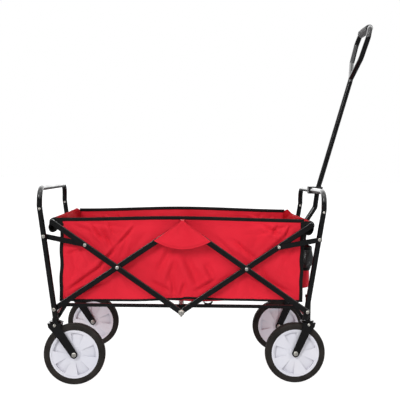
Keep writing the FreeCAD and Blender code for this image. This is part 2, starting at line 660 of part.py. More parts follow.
# ---- pull handle ----
def handle_tube():
    """One bent tube: pivot, waist outside the top tube, clip stretch, neck and D loop."""
    neck = Vector(HANDLE_NECK[0], 0, HANDLE_NECK[1])
    clip = Vector(HANDLE_CLIP[0], 0, HANDLE_CLIP[1])
    run = [Vector(x, 0, z) for x, z in (HANDLE_PIVOT, HANDLE_WAIST, HANDLE_KNEE, HANDLE_CLIP)]
    up = (neck - clip).normalize()
    widest = Vector(0, LOOP_HALF_WIDTH, 0)
    corner = widest * LOOP_SHOULDER
    top = up * LOOP_LENGTH
    shoulder = top * LOOP_SHOULDER
    flare = top * LOOP_FLARE
    loop = [
        neck,
        neck + flare + corner,
        neck + shoulder + widest,
        neck + top + corner,
        neck + top - corner,
        neck + shoulder - widest,
        neck + flare - corner,
        neck + up * LOOP_CLOSE,
    ]
    path = path_of(run + loop, HANDLE_BEND_R)
    outside = swept(path, HANDLE_R)
    inside = swept(path, HANDLE_R - HANDLE_WALL)
    eye = rod_y(HANDLE_PIVOT[0], HANDLE_PIVOT[1], HANDLE_R, -HANDLE_R, HANDLE_R)
    whole = outside.cut(inside).fuse(eye)
    bore = rod_y(HANDLE_PIVOT[0], HANDLE_PIVOT[1], RIVET_R + BORE_GAP, -20.0, 20.0)
    return whole.cut(bore), up, neck


handle, handle_up, handle_neck = handle_tube()
put("handle_tube", handle)
grip_at = handle_neck + handle_up * LOOP_LENGTH
grip_outer = rod_y(grip_at.x, grip_at.z, GRIP_R, -GRIP_HALF_LENGTH, GRIP_HALF_LENGTH)
grip_rims = [e for e in grip_outer.Edges if e.BoundBox.YLength < 0.01]
grip_outer = grip_outer.makeFillet(GRIP_END_R, grip_rims)
grip_bore = rod_y(grip_at.x, grip_at.z, HANDLE_R, -GRIP_HALF_LENGTH, GRIP_HALF_LENGTH)
put("handle_grip", grip_outer.cut(grip_bore))


def handle_bracket():
    """Two cheeks welded on the lower cross tube, one on each side of the handle's foot."""
    y0 = HANDLE_R + SIDE_GAP
    cheek = stadium(lower_tube_x, LOWER_TUBE_Z, HANDLE_PIVOT[0], HANDLE_PIVOT[1], CHEEK_HEIGHT,
                    y0, y0 + CHEEK_THICK)
    cheek = cheek.cut(rod_y(lower_tube_x, LOWER_TUBE_Z, TUBE_R, 0.0, 30.0))
    cheek = cheek.cut(rod_y(HANDLE_PIVOT[0], HANDLE_PIVOT[1], RIVET_R, 0.0, 30.0))
    return both(cheek)


put("handle_bracket", handle_bracket())
pin_in = HANDLE_R + SIDE_GAP + CHEEK_THICK
pin_out = pin_in + RIVET_HEAD
pin_shank = rod_y(HANDLE_PIVOT[0], HANDLE_PIVOT[1], RIVET_R, -pin_in, pin_in)
pin_head = rod_y(HANDLE_PIVOT[0], HANDLE_PIVOT[1], RIVET_HEAD_R, pin_in, pin_out)
put("handle_pin", fuse([pin_shank, pin_head, to_side(pin_head, NEAR)]))


def handle_clip():
    """A plastic clip round the front crossbar, with two jaws open to the front."""
    z0, z1 = CROSSBAR_Z - CLIP_HALF_HEIGHT, CROSSBAR_Z + CLIP_HALF_HEIGHT
    bar_x = leg_at(LEG_KNEE_Z)
    jaw_in = HANDLE_R + SIDE_GAP
    jaw_out = jaw_in + CLIP_WALL
    block = box(bar_x - CLIP_BACK, HANDLE_CLIP[0] + CLIP_AHEAD, -jaw_out, jaw_out, z0, z1)
    way = Vector(clip_slope, 0, 1).normalize()
    foot = Vector(HANDLE_CLIP[0], 0, HANDLE_CLIP[1]) - way * 40.0
    seat = Part.makeCylinder(jaw_in, 80.0, foot, way)
    slot = box(HANDLE_CLIP[0], HANDLE_CLIP[0] + 40.0, -jaw_in, jaw_in, z0 - 1.0, z1 + 1.0)
    block = block.cut(seat).cut(slot)
    return block.cut(rod_y(bar_x, CROSSBAR_Z, TUBE_R, -30.0, 30.0))


put("handle_clip", handle_clip())


# ---- fabric basket ----
def side_wall():
    """A side wall whose rim rises a little towards the middle."""
    y = BASKET_WALL_Y
    foot_a = Vector(-BASKET_HALF_X, y, FLOOR_Z)
    foot_b = Vector(BASKET_HALF_X, y, FLOOR_Z)
    rim_b = Vector(BASKET_HALF_X, y, RIM_END_Z)
    rim_a = Vector(-BASKET_HALF_X, y, RIM_END_Z)
    rim_edge = Part.Arc(rim_b, Vector(0, y, RIM_MID_Z), rim_a).toShape()
    outline = Part.Wire([
        Part.makeLine(foot_a, foot_b),
        Part.makeLine(foot_b, rim_b),
        rim_edge,
        Part.makeLine(rim_a, foot_a),
    ])
    return Part.Face(outline).extrude(Vector(0, CLOTH, 0))


put("near_wall", to_side(side_wall(), NEAR))
put("far_wall", side_wall())
inside_x = BASKET_HALF_X - CLOTH
end_wall = box(inside_x, BASKET_HALF_X, -BASKET_WALL_Y, BASKET_WALL_Y, FLOOR_Z, END_WALL_TOP_Z)
put("front_wall", end_wall)
put("rear_wall", to_end(end_wall, REAR))
put("floor_cloth", box(-inside_x, inside_x, -BASKET_WALL_Y, BASKET_WALL_Y, FLOOR_Z, FLOOR_Z + CLOTH))


def hem(end):
    """The sleeve of cloth round a top tube."""
    inner_r = TUBE_R + HEM_GAP
    ring = rod_y(end * top_x, top_z, inner_r + HEM_CLOTH, -HEM_HALF_Y, HEM_HALF_Y)
    return ring.cut(rod_y(end * top_x, top_z, inner_r, -HEM_HALF_Y, HEM_HALF_Y))


put("front_hem", hem(FRONT))
put("rear_hem", hem(REAR))


def flap():
    """The fan shaped flap over the upper centre pivot, outside the bars."""
    y = FLAP_Y
    apex_l = Vector(-FLAP_APEX_HALF, y, top_z + FLAP_APEX_OVER)
    apex_r = Vector(FLAP_APEX_HALF, y, top_z + FLAP_APEX_OVER)
    left = Vector(-FLAP_REACH, y, top_z - FLAP_DROP)
    right = Vector(FLAP_REACH, y, top_z - FLAP_DROP)
    low = Vector(0, y, top_z - FLAP_DROP - FLAP_ARC)
    outline = Part.Wire([
        Part.makeLine(apex_l, apex_r),
        Part.makeLine(apex_r, right),
        Part.Arc(right, low, left).toShape(),
        Part.makeLine(left, apex_l),
    ])
    return Part.Face(outline).extrude(Vector(0, FLAP_CLOTH, 0))


put("flap_far", flap())
put("flap_near", to_side(flap(), NEAR))

pocket_x0 = BASKET_HALF_X + SIDE_GAP


def pocket(z0, z1, wall, floor):
    """An open topped pouch of cloth on the front wall."""
    outer = box(pocket_x0, POCKET_X1, POCKET_Y0, POCKET_Y1, z0, z1)
    room = box(pocket_x0 + wall, POCKET_X1 - wall, POCKET_Y0 + wall, POCKET_Y1 - wall,
               z0 + floor, z1 + 1.0)
    return both(outer.cut(room))


put("pocket_bases", pocket(POCKET_Z0, POCKET_BAND_Z, POCKET_CLOTH, POCKET_CLOTH))
put("pocket_meshes", pocket(POCKET_BAND_Z, POCKET_TOP_Z, POCKET_NET, -1.0))

# ---- export, with the origin under the middle of the whole outline ----
rear_most = -(leg_at(LEG_KNEE_Z) + TUBE_R)
front_most = grip_at.x + GRIP_R
origin_x = (rear_most + front_most) / 2.0

for name, shape in nodes.items():
    shape.translate(Vector(-origin_x, 0, 0))
    shape.exportStep(f"parts/{name}.step")
    print(f"{name:20s} {len(shape.Solids)} solids {shape.Volume / 1000.0:8.2f} cm3")
print(f"{len(nodes)} nodes, scissor middle at x = {-origin_x:.3f}")
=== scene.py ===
# %% [markdown]
# # A folding wagon with a pull handle
# The steel frame, the wheels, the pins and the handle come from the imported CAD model, which is
# loaded first and never moved. Blender adds what CAD leaves plain: sewn cloth, tyres, foam and
# a finish for every part. All lengths are in metres, with the origin on the ground.

# %% Load the frame
import math
import random

import bpy
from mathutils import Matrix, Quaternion, Vector, noise


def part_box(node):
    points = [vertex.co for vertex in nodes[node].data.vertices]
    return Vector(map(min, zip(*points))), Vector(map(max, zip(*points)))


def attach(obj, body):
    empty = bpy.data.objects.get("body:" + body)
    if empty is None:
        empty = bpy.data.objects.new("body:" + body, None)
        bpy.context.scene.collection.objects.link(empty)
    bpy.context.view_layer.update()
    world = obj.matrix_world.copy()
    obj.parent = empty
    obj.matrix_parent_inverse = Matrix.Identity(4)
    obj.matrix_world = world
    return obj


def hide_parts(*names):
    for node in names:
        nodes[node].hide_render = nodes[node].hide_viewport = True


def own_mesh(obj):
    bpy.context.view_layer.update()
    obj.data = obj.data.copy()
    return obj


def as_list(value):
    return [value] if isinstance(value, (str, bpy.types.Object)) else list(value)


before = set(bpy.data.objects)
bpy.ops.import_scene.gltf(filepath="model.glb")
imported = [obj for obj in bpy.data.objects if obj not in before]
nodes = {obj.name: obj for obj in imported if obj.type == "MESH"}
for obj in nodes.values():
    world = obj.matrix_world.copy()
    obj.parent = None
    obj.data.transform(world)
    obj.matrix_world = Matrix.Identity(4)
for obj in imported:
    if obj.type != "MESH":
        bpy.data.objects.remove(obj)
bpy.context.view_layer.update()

# %% [markdown]
# ## The camera
# A product picture of a wagon is taken from far away with a long lens, so that the near and the
# far wheels keep almost the same size. The camera stands a little above the basket's rim and
# leans by less than a degree, which makes the rim drop slightly to the right.

# %% The camera
eye = Vector((-0.0917, -2.54, 0.628))
look = Vector((0.0249, 1.0, -0.0387))
lean = 0.0157
camera_data = bpy.data.cameras.new("camera")
camera_data.lens = 71.5
camera_data.sensor_width = 36.0
camera = bpy.data.objects.new("camera", camera_data)
bpy.context.scene.collection.objects.link(camera)
camera.rotation_mode = "QUATERNION"
camera.location = eye
camera.rotation_quaternion = look.to_track_quat("-Z", "Y") @ Quaternion((0, 0, 1), lean)
bpy.context.scene.camera = camera
print("camera", round(eye.length, 2), "m from the origin")

# %% [markdown]
# ## The floor and the light
# A white room has no visible corner, so the floor is one large sheet that glows a little, as a
# lit table does, and the sky behind it is as bright. Two soft suns stand for the studio's lamps
# on the left and on the right: light from one side shows the creases of the cloth. A weak lamp
# above lights the tops. The plain view transform keeps the cloth's own red.

# %% The floor and the light
def square(name, half, height):
    """A flat square on the given height."""
    corners = [(x * half, y * half, height) for x, y in ((-1, -1), (1, -1), (1, 1), (-1, 1))]
    mesh = bpy.data.meshes.new(name)
    mesh.from_pydata(corners, [], [(0, 1, 2, 3)])
    made = bpy.data.objects.new(name, mesh)
    bpy.context.scene.collection.objects.link(made)
    return made


def soft_light(name, place, target, size, power):
    """A square lamp that faces its target."""
    data = bpy.data.lights.new(name, "AREA")
    data.size = size
    data.energy = power
    lamp = bpy.data.objects.new(name, data)
    lamp.location = place
    lamp.rotation_euler = (Vector(target) - Vector(place)).to_track_quat("-Z", "Y").to_euler()
    bpy.context.scene.collection.objects.link(lamp)


def soft_sun(name, strength, wide, rise, turn):
    """A sun of that apparent width, which shines away from the camera; angles in degrees."""
    data = bpy.data.lights.new(name, "SUN")
    data.energy = strength
    data.angle = math.radians(wide)
    lamp = bpy.data.objects.new(name, data)
    lamp.rotation_euler = (math.radians(90.0 - rise), 0.0, math.radians(turn))
    bpy.context.scene.collection.objects.link(lamp)


floor = square("floor", 40.0, 0.0)
middle = (0.0, 0.0, 0.4)
soft_light("top_light", (0.1, -1.0, 3.0), middle, 0.5, 15.0)
soft_sun("left_sun", 1.85, 20.0, 30.0, -34.0)
soft_sun("right_sun", 0.80, 26.0, 24.0, 30.0)
bpy.context.scene.view_settings.view_transform = "Standard"
print("a top lamp and two soft suns")

# %% [markdown]
# ## The white room
# Black gloss paint mirrors whatever is round it. A studio therefore keeps the room in front of
# the object dark and hangs white sheets above and behind, which draw the thin highlights along
# the tubes. The sky here does the same: it is white where it is seen, dim where it lights, and
# in mirrored rays it is bright only above and behind.

# %% The white room
dim_sky, white_sky = 0.22, 1.0
sheets = {"Y": ((0.25, 0.60), (0.04, 2.6)), "Z": ((0.35, 0.70), (0.0, 2.4))}
world = bpy.data.worlds.new("white_room")
world.use_nodes = True
room_nodes, wire = world.node_tree.nodes, world.node_tree.links.new
sky = room_nodes["Background"]
seen_sky = room_nodes.new("ShaderNodeBackground")
for background, strength in ((sky, dim_sky), (seen_sky, white_sky)):
    background.inputs["Color"].default_value = (1.0, 1.0, 1.0, 1.0)
    background.inputs["Strength"].default_value = strength
rays = room_nodes.new("ShaderNodeLightPath")
split_way = room_nodes.new("ShaderNodeSeparateXYZ")
wire(room_nodes.new("ShaderNodeTexCoord").outputs["Generated"], split_way.inputs["Vector"])
both_glows = room_nodes.new("ShaderNodeMath")
for slot, (axis, (reach, glow_range)) in enumerate(sheets.items()):
    glow = room_nodes.new("ShaderNodeMapRange")
    for socket, value in zip(("From Min", "From Max", "To Min", "To Max"), reach + glow_range):
        glow.inputs[socket].default_value = value
    wire(split_way.outputs[axis], glow.inputs["Value"])
    wire(glow.outputs["Result"], both_glows.inputs[slot])
gloss_choice = room_nodes.new("ShaderNodeMix")
gloss_choice.inputs["A"].default_value = dim_sky
wire(both_glows.outputs["Value"], gloss_choice.inputs["B"])
wire(rays.outputs["Is Glossy Ray"], gloss_choice.inputs["Factor"])
wire(gloss_choice.outputs["Result"], sky.inputs["Strength"])
choice = room_nodes.new("ShaderNodeMixShader")
wire(rays.outputs["Is Camera Ray"], choice.inputs["Fac"])
wire(sky.outputs["Background"], choice.inputs[1])
wire(seen_sky.outputs["Background"], choice.inputs[2])
wire(choice.outputs["Shader"], room_nodes["World Output"].inputs["Surface"])
bpy.context.scene.world = world
print("white room with sheets above and behind")

# %% [markdown]
# ## Helpers for finishes
# Every finish starts as the same shader with its own colour, gloss and metal. Then small node
# groups add what the real surface shows: a drift of colour, uneven gloss, grain and weave. The
# patterns read the piece's own coordinates, so they stay on it when it moves.

# %% Helpers for finishes
def socket_of(finish, name):
    """An input of the finish's shader."""
    return finish.node_tree.nodes["Principled BSDF"].inputs[name]


def new_finish(name, colour, rough, metal=0.0, shine=0.5, sheen=0.0):
    """A material with one shader; shine is the mirror share of a plain surface, sheen its fuzz."""
    made = bpy.data.materials.new(name)
    made.use_nodes = True
    for socket, value in (("Base Color", (*colour, 1.0)), ("Roughness", rough), ("Metallic", metal),
                          ("Specular IOR Level", shine), ("Sheen Weight", sheen)):
        socket_of(made, socket).default_value = value
    return made


def add_node(finish, kind, values=(), **settings):
    """A node with its input values and settings."""
    made = finish.node_tree.nodes.new(kind)
    for key, value in settings.items():
        setattr(made, key, value)
    for socket, value in values:
        made.inputs[socket].default_value = value
    return made


def join(finish, start, end):
    finish.node_tree.links.new(start, end)


def pattern(finish, scale, detail=3.0, kind="ShaderNodeTexNoise", coords="Object", stretch=None):
    """The grey value of a noise over the piece's own coordinates."""
    place = add_node(finish, "ShaderNodeTexCoord")
    texture = add_node(finish, kind, [("Scale", scale)])
    if "Detail" in texture.inputs:
        texture.inputs["Detail"].default_value = detail
    source = place.outputs[coords]
    if stretch:
        mapping = add_node(finish, "ShaderNodeMapping", [("Scale", stretch)])
        join(finish, source, mapping.inputs["Vector"])
        source = mapping.outputs["Vector"]
    join(finish, source, texture.inputs["Vector"])
    return texture.outputs["Fac" if "Fac" in texture.outputs else "Distance"]


def drift(finish, scale, dark, light, detail=4.0, coords="Object", stretch=None):
    """The colour drifts between two tones."""
    grey = pattern(finish, scale, detail, coords=coords, stretch=stretch)
    ramp = add_node(finish, "ShaderNodeValToRGB")
    ramp.color_ramp.elements[0].position = 0.3
    ramp.color_ramp.elements[1].position = 0.7
    ramp.color_ramp.elements[0].color = (*dark, 1.0)
    ramp.color_ramp.elements[1].color = (*light, 1.0)
    join(finish, grey, ramp.inputs["Fac"])
    join(finish, ramp.outputs["Color"], socket_of(finish, "Base Color"))


print("shader, colour drift")

# %% [markdown]
# ## Gloss, grain and weave
# Wear makes a surface shinier in some places, and grain or threads stand up from it. The weave
# is two sets of crossing ribs, measured in metres on the flat cloth.

# %% Gloss, grain and weave
def uneven_gloss(finish, scale, low, high, coords="Object"):
    """The roughness wanders between two values, as on a handled surface."""
    spread = add_node(finish, "ShaderNodeMapRange", [("From Min", 0.3), ("From Max", 0.7),
                                                     ("To Min", low), ("To Max", high)])
    join(finish, pattern(finish, scale, coords=coords), spread.inputs["Value"])
    join(finish, spread.outputs["Result"], socket_of(finish, "Roughness"))


def relief(finish, height, depth, strength=1.0):
    """A bump from a grey value, on top of any earlier bump."""
    normal = socket_of(finish, "Normal")
    bump = add_node(finish, "ShaderNodeBump", [("Strength", strength), ("Distance", depth)])
    join(finish, height, bump.inputs["Height"])
    if normal.is_linked:
        join(finish, normal.links[0].from_socket, bump.inputs["Normal"])
    join(finish, bump.outputs["Normal"], normal)


def sum_of(finish, operation, first, second):
    """A math node over two values, which are sockets or plain numbers."""
    made = add_node(finish, "ShaderNodeMath", operation=operation)
    for slot, value in enumerate((first, second)):
        if isinstance(value, float):
            made.inputs[slot].default_value = value
        elif value is not None:
            join(finish, value, made.inputs[slot])
    return made.outputs["Value"]


def weave(finish, pitch, depth, ribbed=False):
    """Yarns over and under each other along the cloth's own length and width."""
    place = add_node(finish, "ShaderNodeTexCoord")
    split = add_node(finish, "ShaderNodeSeparateXYZ")
    join(finish, place.outputs["UV"], split.inputs["Vector"])
    turns = math.pi / pitch
    waves = []
    for axis in "XY":
        angle = sum_of(finish, "MULTIPLY", split.outputs[axis], turns)
        waves.append(sum_of(finish, "SINE", angle, None))
    height = waves[0] if ribbed else sum_of(finish, "MULTIPLY", waves[0], waves[1])
    relief(finish, height, depth)


print("uneven gloss, relief, weave")

# %% [markdown]
# ## Black powder coat
# The tubes are sprayed with dry paint and baked, which gives a glossy black skin with a faint
# orange peel. Handling dulls the gloss in patches, so the roughness wanders.

# %% Black powder coat
frame_paint = new_finish("frame_paint", (0.003, 0.003, 0.0035), 0.22, shine=0.38)
drift(frame_paint, 14.0, (0.0016, 0.0016, 0.0019), (0.0036, 0.0036, 0.0041))
uneven_gloss(frame_paint, 22.0, 0.17, 0.28)
relief(frame_paint, pattern(frame_paint, 420.0, 2.0), 0.0001, 0.3)
print(frame_paint.name)

# %% [markdown]
# ## Zinc, plastics and rubber
# Zinc plate is a soft warm grey metal with crystals that show as patches. The rims are moulded
# white plastic with a cool tone. The tyres are a foamed rubber that turns brownish grey with
# dust. The caps and the clip are black plastic with a fine spark texture from the mould.

# %% Zinc, plastics and rubber
zinc = new_finish("zinc", (0.60, 0.58, 0.53), 0.32, metal=0.9)
drift(zinc, 160.0, (0.44, 0.42, 0.38), (0.74, 0.72, 0.67))
uneven_gloss(zinc, 90.0, 0.24, 0.46)
relief(zinc, pattern(zinc, 700.0, 2.0), 0.0001, 0.4)

rim_plastic = new_finish("rim_plastic", (0.56, 0.56, 0.61), 0.38, shine=0.3)
drift(rim_plastic, 9.0, (0.52, 0.525, 0.585), (0.60, 0.59, 0.63))
uneven_gloss(rim_plastic, 30.0, 0.32, 0.48)
relief(rim_plastic, pattern(rim_plastic, 900.0, 2.0), 0.0001, 0.25)

tyre_rubber = new_finish("tyre_rubber", (0.014, 0.012, 0.010), 0.72, shine=0.16)
drift(tyre_rubber, 26.0, (0.008, 0.007, 0.006), (0.022, 0.018, 0.016))
uneven_gloss(tyre_rubber, 50.0, 0.62, 0.86)
relief(tyre_rubber, pattern(tyre_rubber, 800.0, 4.0), 0.0003, 0.5)

black_plastic = new_finish("black_plastic", (0.018, 0.018, 0.019), 0.42, shine=0.3)
drift(black_plastic, 60.0, (0.012, 0.012, 0.013), (0.028, 0.028, 0.029))
uneven_gloss(black_plastic, 80.0, 0.36, 0.55)
relief(black_plastic, pattern(black_plastic, 1300.0, 1.0), 0.0002, 0.6)
print(zinc.name, rim_plastic.name, tyre_rubber.name, black_plastic.name)

# %% [markdown]
# ## Red and black cloth, foam
# The basket is coated polyester in a plain weave of thick yarns, slightly shiny from the coating.
# The two ends and the rolls use a duller copy of that cloth, whose darker red is painted shade.
# The tapes round its edges are ribbed black polyester. The pockets are knitted net. The grip is
# open cell foam, which scatters the light in its pores and looks dull.

# %% Red and black cloth, foam
red_cloth = new_finish("red_cloth", (0.60, 0.009, 0.024), 0.62, shine=0.17, sheen=0.05)
socket_of(red_cloth, "Sheen Roughness").default_value = 0.45
drift(red_cloth, 7.0, (0.56, 0.007, 0.021), (0.66, 0.011, 0.029), coords="UV")
uneven_gloss(red_cloth, 12.0, 0.52, 0.70, coords="UV")
weave(red_cloth, 0.0011, 0.00016)
relief(red_cloth, pattern(red_cloth, 60.0, 5.0, coords="UV"), 0.0006, 0.5)

# A duller copy of the red cloth; its darker red is painted shade.
shaded_red_cloth = new_finish("shaded_red_cloth", (0.42, 0.005, 0.012), 0.8, shine=0.04)
drift(shaded_red_cloth, 7.0, (0.38, 0.004, 0.010), (0.47, 0.007, 0.015), coords="UV")
uneven_gloss(shaded_red_cloth, 12.0, 0.72, 0.88, coords="UV")
weave(shaded_red_cloth, 0.0011, 0.00016)
relief(shaded_red_cloth, pattern(shaded_red_cloth, 60.0, 5.0, coords="UV"), 0.0006, 0.5)

black_tape = new_finish("black_tape", (0.008, 0.008, 0.008), 0.78, shine=0.12, sheen=0.03)
drift(black_tape, 40.0, (0.004, 0.004, 0.004), (0.009, 0.008, 0.008), coords="UV")
weave(black_tape, 0.0009, 0.00022, ribbed=True)

black_net = new_finish("black_net", (0.016, 0.016, 0.017), 0.7, sheen=0.3)
drift(black_net, 300.0, (0.010, 0.010, 0.011), (0.026, 0.026, 0.028))

thread = new_finish("thread", (0.010, 0.010, 0.010), 0.6, shine=0.25)
drift(thread, 500.0, (0.006, 0.006, 0.006), (0.015, 0.014, 0.014))
red_thread = new_finish("red_thread", (0.42, 0.006, 0.014), 0.6, shine=0.3)
drift(red_thread, 500.0, (0.36, 0.004, 0.010), (0.50, 0.008, 0.018))

foam = new_finish("foam", (0.016, 0.016, 0.017), 0.9, sheen=0.2)
drift(foam, 220.0, (0.008, 0.008, 0.009), (0.030, 0.030, 0.031))
relief(foam, pattern(foam, 900.0, kind="ShaderNodeTexVoronoi"), 0.0006, 0.8)

print(red_cloth.name, black_tape.name, foam.name)

# %% [markdown]
# ## The floor's paint
# The floor glows, so that no shadow or edge of it shows. In mirrored rays it hardly glows, as a
# real floor in front of the object is out of the light, and the black paint stays black.

# %% The floor's paint
floor_glow, mirrored_glow = 0.93, 0.03
floor_paint = new_finish("floor_paint", (0.16, 0.16, 0.16), 0.9)
socket_of(floor_paint, "Emission Color").default_value = (1.0, 1.0, 1.0, 1.0)
drift(floor_paint, 0.5, (0.155, 0.155, 0.16), (0.165, 0.165, 0.165))
glow = add_node(floor_paint, "ShaderNodeMapRange",
                [("To Min", floor_glow), ("To Max", mirrored_glow)])
floor_rays = add_node(floor_paint, "ShaderNodeLightPath")
join(floor_paint, floor_rays.outputs["Is Glossy Ray"], glow.inputs["Value"])
join(floor_paint, glow.outputs["Result"], socket_of(floor_paint, "Emission Strength"))
floor.data.materials.append(floor_paint)
print(floor_paint.name)

# %% [markdown]
# ## Finishes on the CAD parts
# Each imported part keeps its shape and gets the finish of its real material, by its name. The
# ends of the top tubes carry plastic caps, and they are small and black as the paint is.

# %% Finishes on the CAD parts
zinc_parts = ("lower_centre_bolts", "rivets_a", "rivets_c", "upper_centre_pins", "rear_rivets",
              "front_rivets", "rear_axles", "front_axle_near", "front_axle_far", "handle_pin")
for name, part in nodes.items():
    chosen = frame_paint
    if name in zinc_parts:
        chosen = zinc
    elif name.startswith("rim_"):
        chosen = rim_plastic
    elif name in ("handle_clip", "handle_bracket"):
        chosen = black_plastic
    part.data.materials.clear()
    part.data.materials.append(chosen)
print("finishes on", len(nodes), "parts")

# %% [markdown]
# ## Helpers for pieces
# A cloth piece is a grid of points that a function places, with its own coordinates in metres
# for the weave, and a thin skin of thickness.

# %% Helpers for pieces
def add_piece(name, points, faces, finish, uvs=None):
    """A smooth mesh object."""
    mesh = bpy.data.meshes.new(name)
    mesh.from_pydata([tuple(p) for p in points], [], faces)
    mesh.validate()
    mesh.shade_smooth()
    mesh.materials.append(finish)
    if uvs:
        layer = mesh.uv_layers.new(name="cloth")
        for loop in mesh.loops:
            layer.data[loop.index].uv = uvs[loop.vertex_index]
    made = bpy.data.objects.new(name, mesh)
    bpy.context.scene.collection.objects.link(made)
    return made


def grid_faces(columns, rows, round_columns=False, round_rows=False):
    """The quads of a grid, whose ends may meet."""
    faces = []
    for i in range(columns if round_columns else columns - 1):
        for j in range(rows if round_rows else rows - 1):
            a, b = i, (i + 1) % columns
            c, d = j, (j + 1) % rows
            faces.append((a * rows + c, b * rows + c, b * rows + d, a * rows + d))
    return faces


def cloth(name, place, columns, rows, size, finish, thick=0.0012):
    """A sheet of cloth: place(u, v) gives each point, size is its flat width and length."""
    points, uvs = [], []
    for i in range(columns):
        for j in range(rows):
            u, v = i / (columns - 1), j / (rows - 1)
            points.append(place(u, v))
            uvs.append((u * size[0], v * size[1]))
    made = add_piece(name, points, grid_faces(columns, rows), finish, uvs)
    skin = made.modifiers.new("thickness", "SOLIDIFY")
    skin.thickness = thick
    skin.offset = 0.0
    return made


print("grids and cloth")

# %% [markdown]
# ## Swept, turned and sewn pieces
# A tape is one section carried along a path. A turned piece is a profile spun round the Y axis.
# A stitch is a small raised oval; a seam is a row of them.

# %% Swept, turned and sewn pieces
def swept(name, sections, finish, closed, length_step=0.01):
    """A closed section carried along a path: sections are rings of points."""
    rings, across = len(sections), len(sections[0])
    points = [p for ring in sections for p in ring]
    uvs = [(i * length_step, j * 0.003) for i in range(rings) for j in range(across)]
    faces = grid_faces(rings, across, closed, True)
    if not closed:
        faces.append(tuple(range(across)))
        faces.append(tuple((rings - 1) * across + j for j in reversed(range(across))))
    return add_piece(name, points, faces, finish, uvs)


def turned(name, centre, profile, finish, steps=96, ripple=None):
    """A closed profile of (along Y, radius) spun round the Y axis through centre."""
    sections = []
    for i in range(steps):
        angle = 2.0 * math.pi * i / steps
        ring = []
        for along, radius in profile:
            if ripple:
                radius += ripple(along, angle)
            round_it = Vector((radius * math.cos(angle), along, radius * math.sin(angle)))
            ring.append(centre + round_it)
        sections.append(ring)
    return swept(name, sections, finish, True)


def seam(name, path, away, finish, pitch=0.004, length=0.0028, high=0.0005):
    """A row of stitches along a path of points; away is the direction off the cloth."""
    points, faces = [], []
    run = 0.0
    for a, b in zip(path, path[1:]):
        step = (b - a).length
        while run < step:
            at = a.lerp(b, run / step)
            along = (b - a).normalized()
            side = along.cross(away).normalized() * (high * 0.8)
            half = along * (length / 2.0)
            k = len(points)
            points += [at - half, at + half, at + side - half * 0.3 + away * high,
                       at + side + half * 0.3 + away * high, at - side - half * 0.3 + away * high,
                       at - side + half * 0.3 + away * high]
            faces += [(k, k + 2, k + 4), (k + 2, k + 3, k + 5, k + 4), (k + 1, k + 5, k + 3),
                      (k, k + 1, k + 3, k + 2), (k, k + 4, k + 5, k + 1)]
            run += pitch
        run -= step
    return add_piece(name, points, faces, finish)


def smooth(value):
    value = min(1.0, max(0.0, value))
    return value * value * (3.0 - 2.0 * value)


print("swept, turned and sewn pieces")

# %% [markdown]
# ## The basket's body
# The whole basket is sewn cloth, so it can't follow the steel bars. All its pieces hang on one
# basket body, each with its own copy of its mesh.

# %% The basket's body
wall_low, wall_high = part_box("near_wall")
mid_x = (wall_low.x + wall_high.x) / 2.0
floor_z = wall_low.z
open_angle, folded_angle = math.radians(34.4), math.radians(75.0)


def sew_on(*pieces):
    """These pieces hang on the basket body, each with its own mesh."""
    for piece in pieces:
        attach(piece, "basket")
        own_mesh(piece)


# %% [markdown]
# ## The creases of a side wall
# A side wall hangs between two tubes and is pulled at its corners and by the bars that cross it, so
# long shallow creases run from those places. A simulation would move them somewhere new each time,
# so each crease is drawn: a valley with a ridge beside it, which fades at its ends.

# %% The creases of a side wall
def crease_depth(x, z, creases):
    """How far inwards the cloth lies at a point of the wall, in metres."""
    total = 0.0
    for (xa, za), (xb, zb), wide, deep in creases:
        dx, dz = xb - xa, zb - za
        length = math.hypot(dx, dz)
        along = ((x - xa) * dx + (z - za) * dz) / length
        if along < -2.0 * wide or along > length + 2.0 * wide:
            continue
        across = ((x - xa) * dz - (z - za) * dx) / length
        if abs(across) > 5.0 * wide:
            continue
        ends = smooth(along / length / 0.35 + 0.1) * smooth((1.0 - along / length) / 0.45 + 0.1)
        valley = math.exp(-((across / wide) ** 2))
        ridge = 0.7 * math.exp(-(((across - 1.7 * wide) / (1.2 * wide)) ** 2))
        total += deep * ends * (valley - ridge)
    return total


def fan_of_creases(dice, centre, turns, count, reach, wide, deep):
    """Creases that spread from one place, between two directions in degrees."""
    made = []
    for n in range(count):
        turn = math.radians(turns[0] + (turns[1] - turns[0]) * (n + dice.random()) / count)
        start, length = dice.uniform(0.012, 0.04), reach * dice.uniform(0.6, 1.1)
        way = Vector((math.cos(turn), math.sin(turn)))
        a = (centre[0] + way.x * start, centre[1] + way.y * start)
        b = (centre[0] + way.x * length, centre[1] + way.y * length)
        made.append((a, b, wide * dice.uniform(0.7, 1.4), deep * dice.uniform(0.5, 1.2)))
    return made


print("valleys and fans")

# %% [markdown]
# ## Where the creases run
# Each row gives the two ends of one crease, its half width and its depth, in millimetres. The
# long ones lean from the flap's foot and from the crossings of the bars.

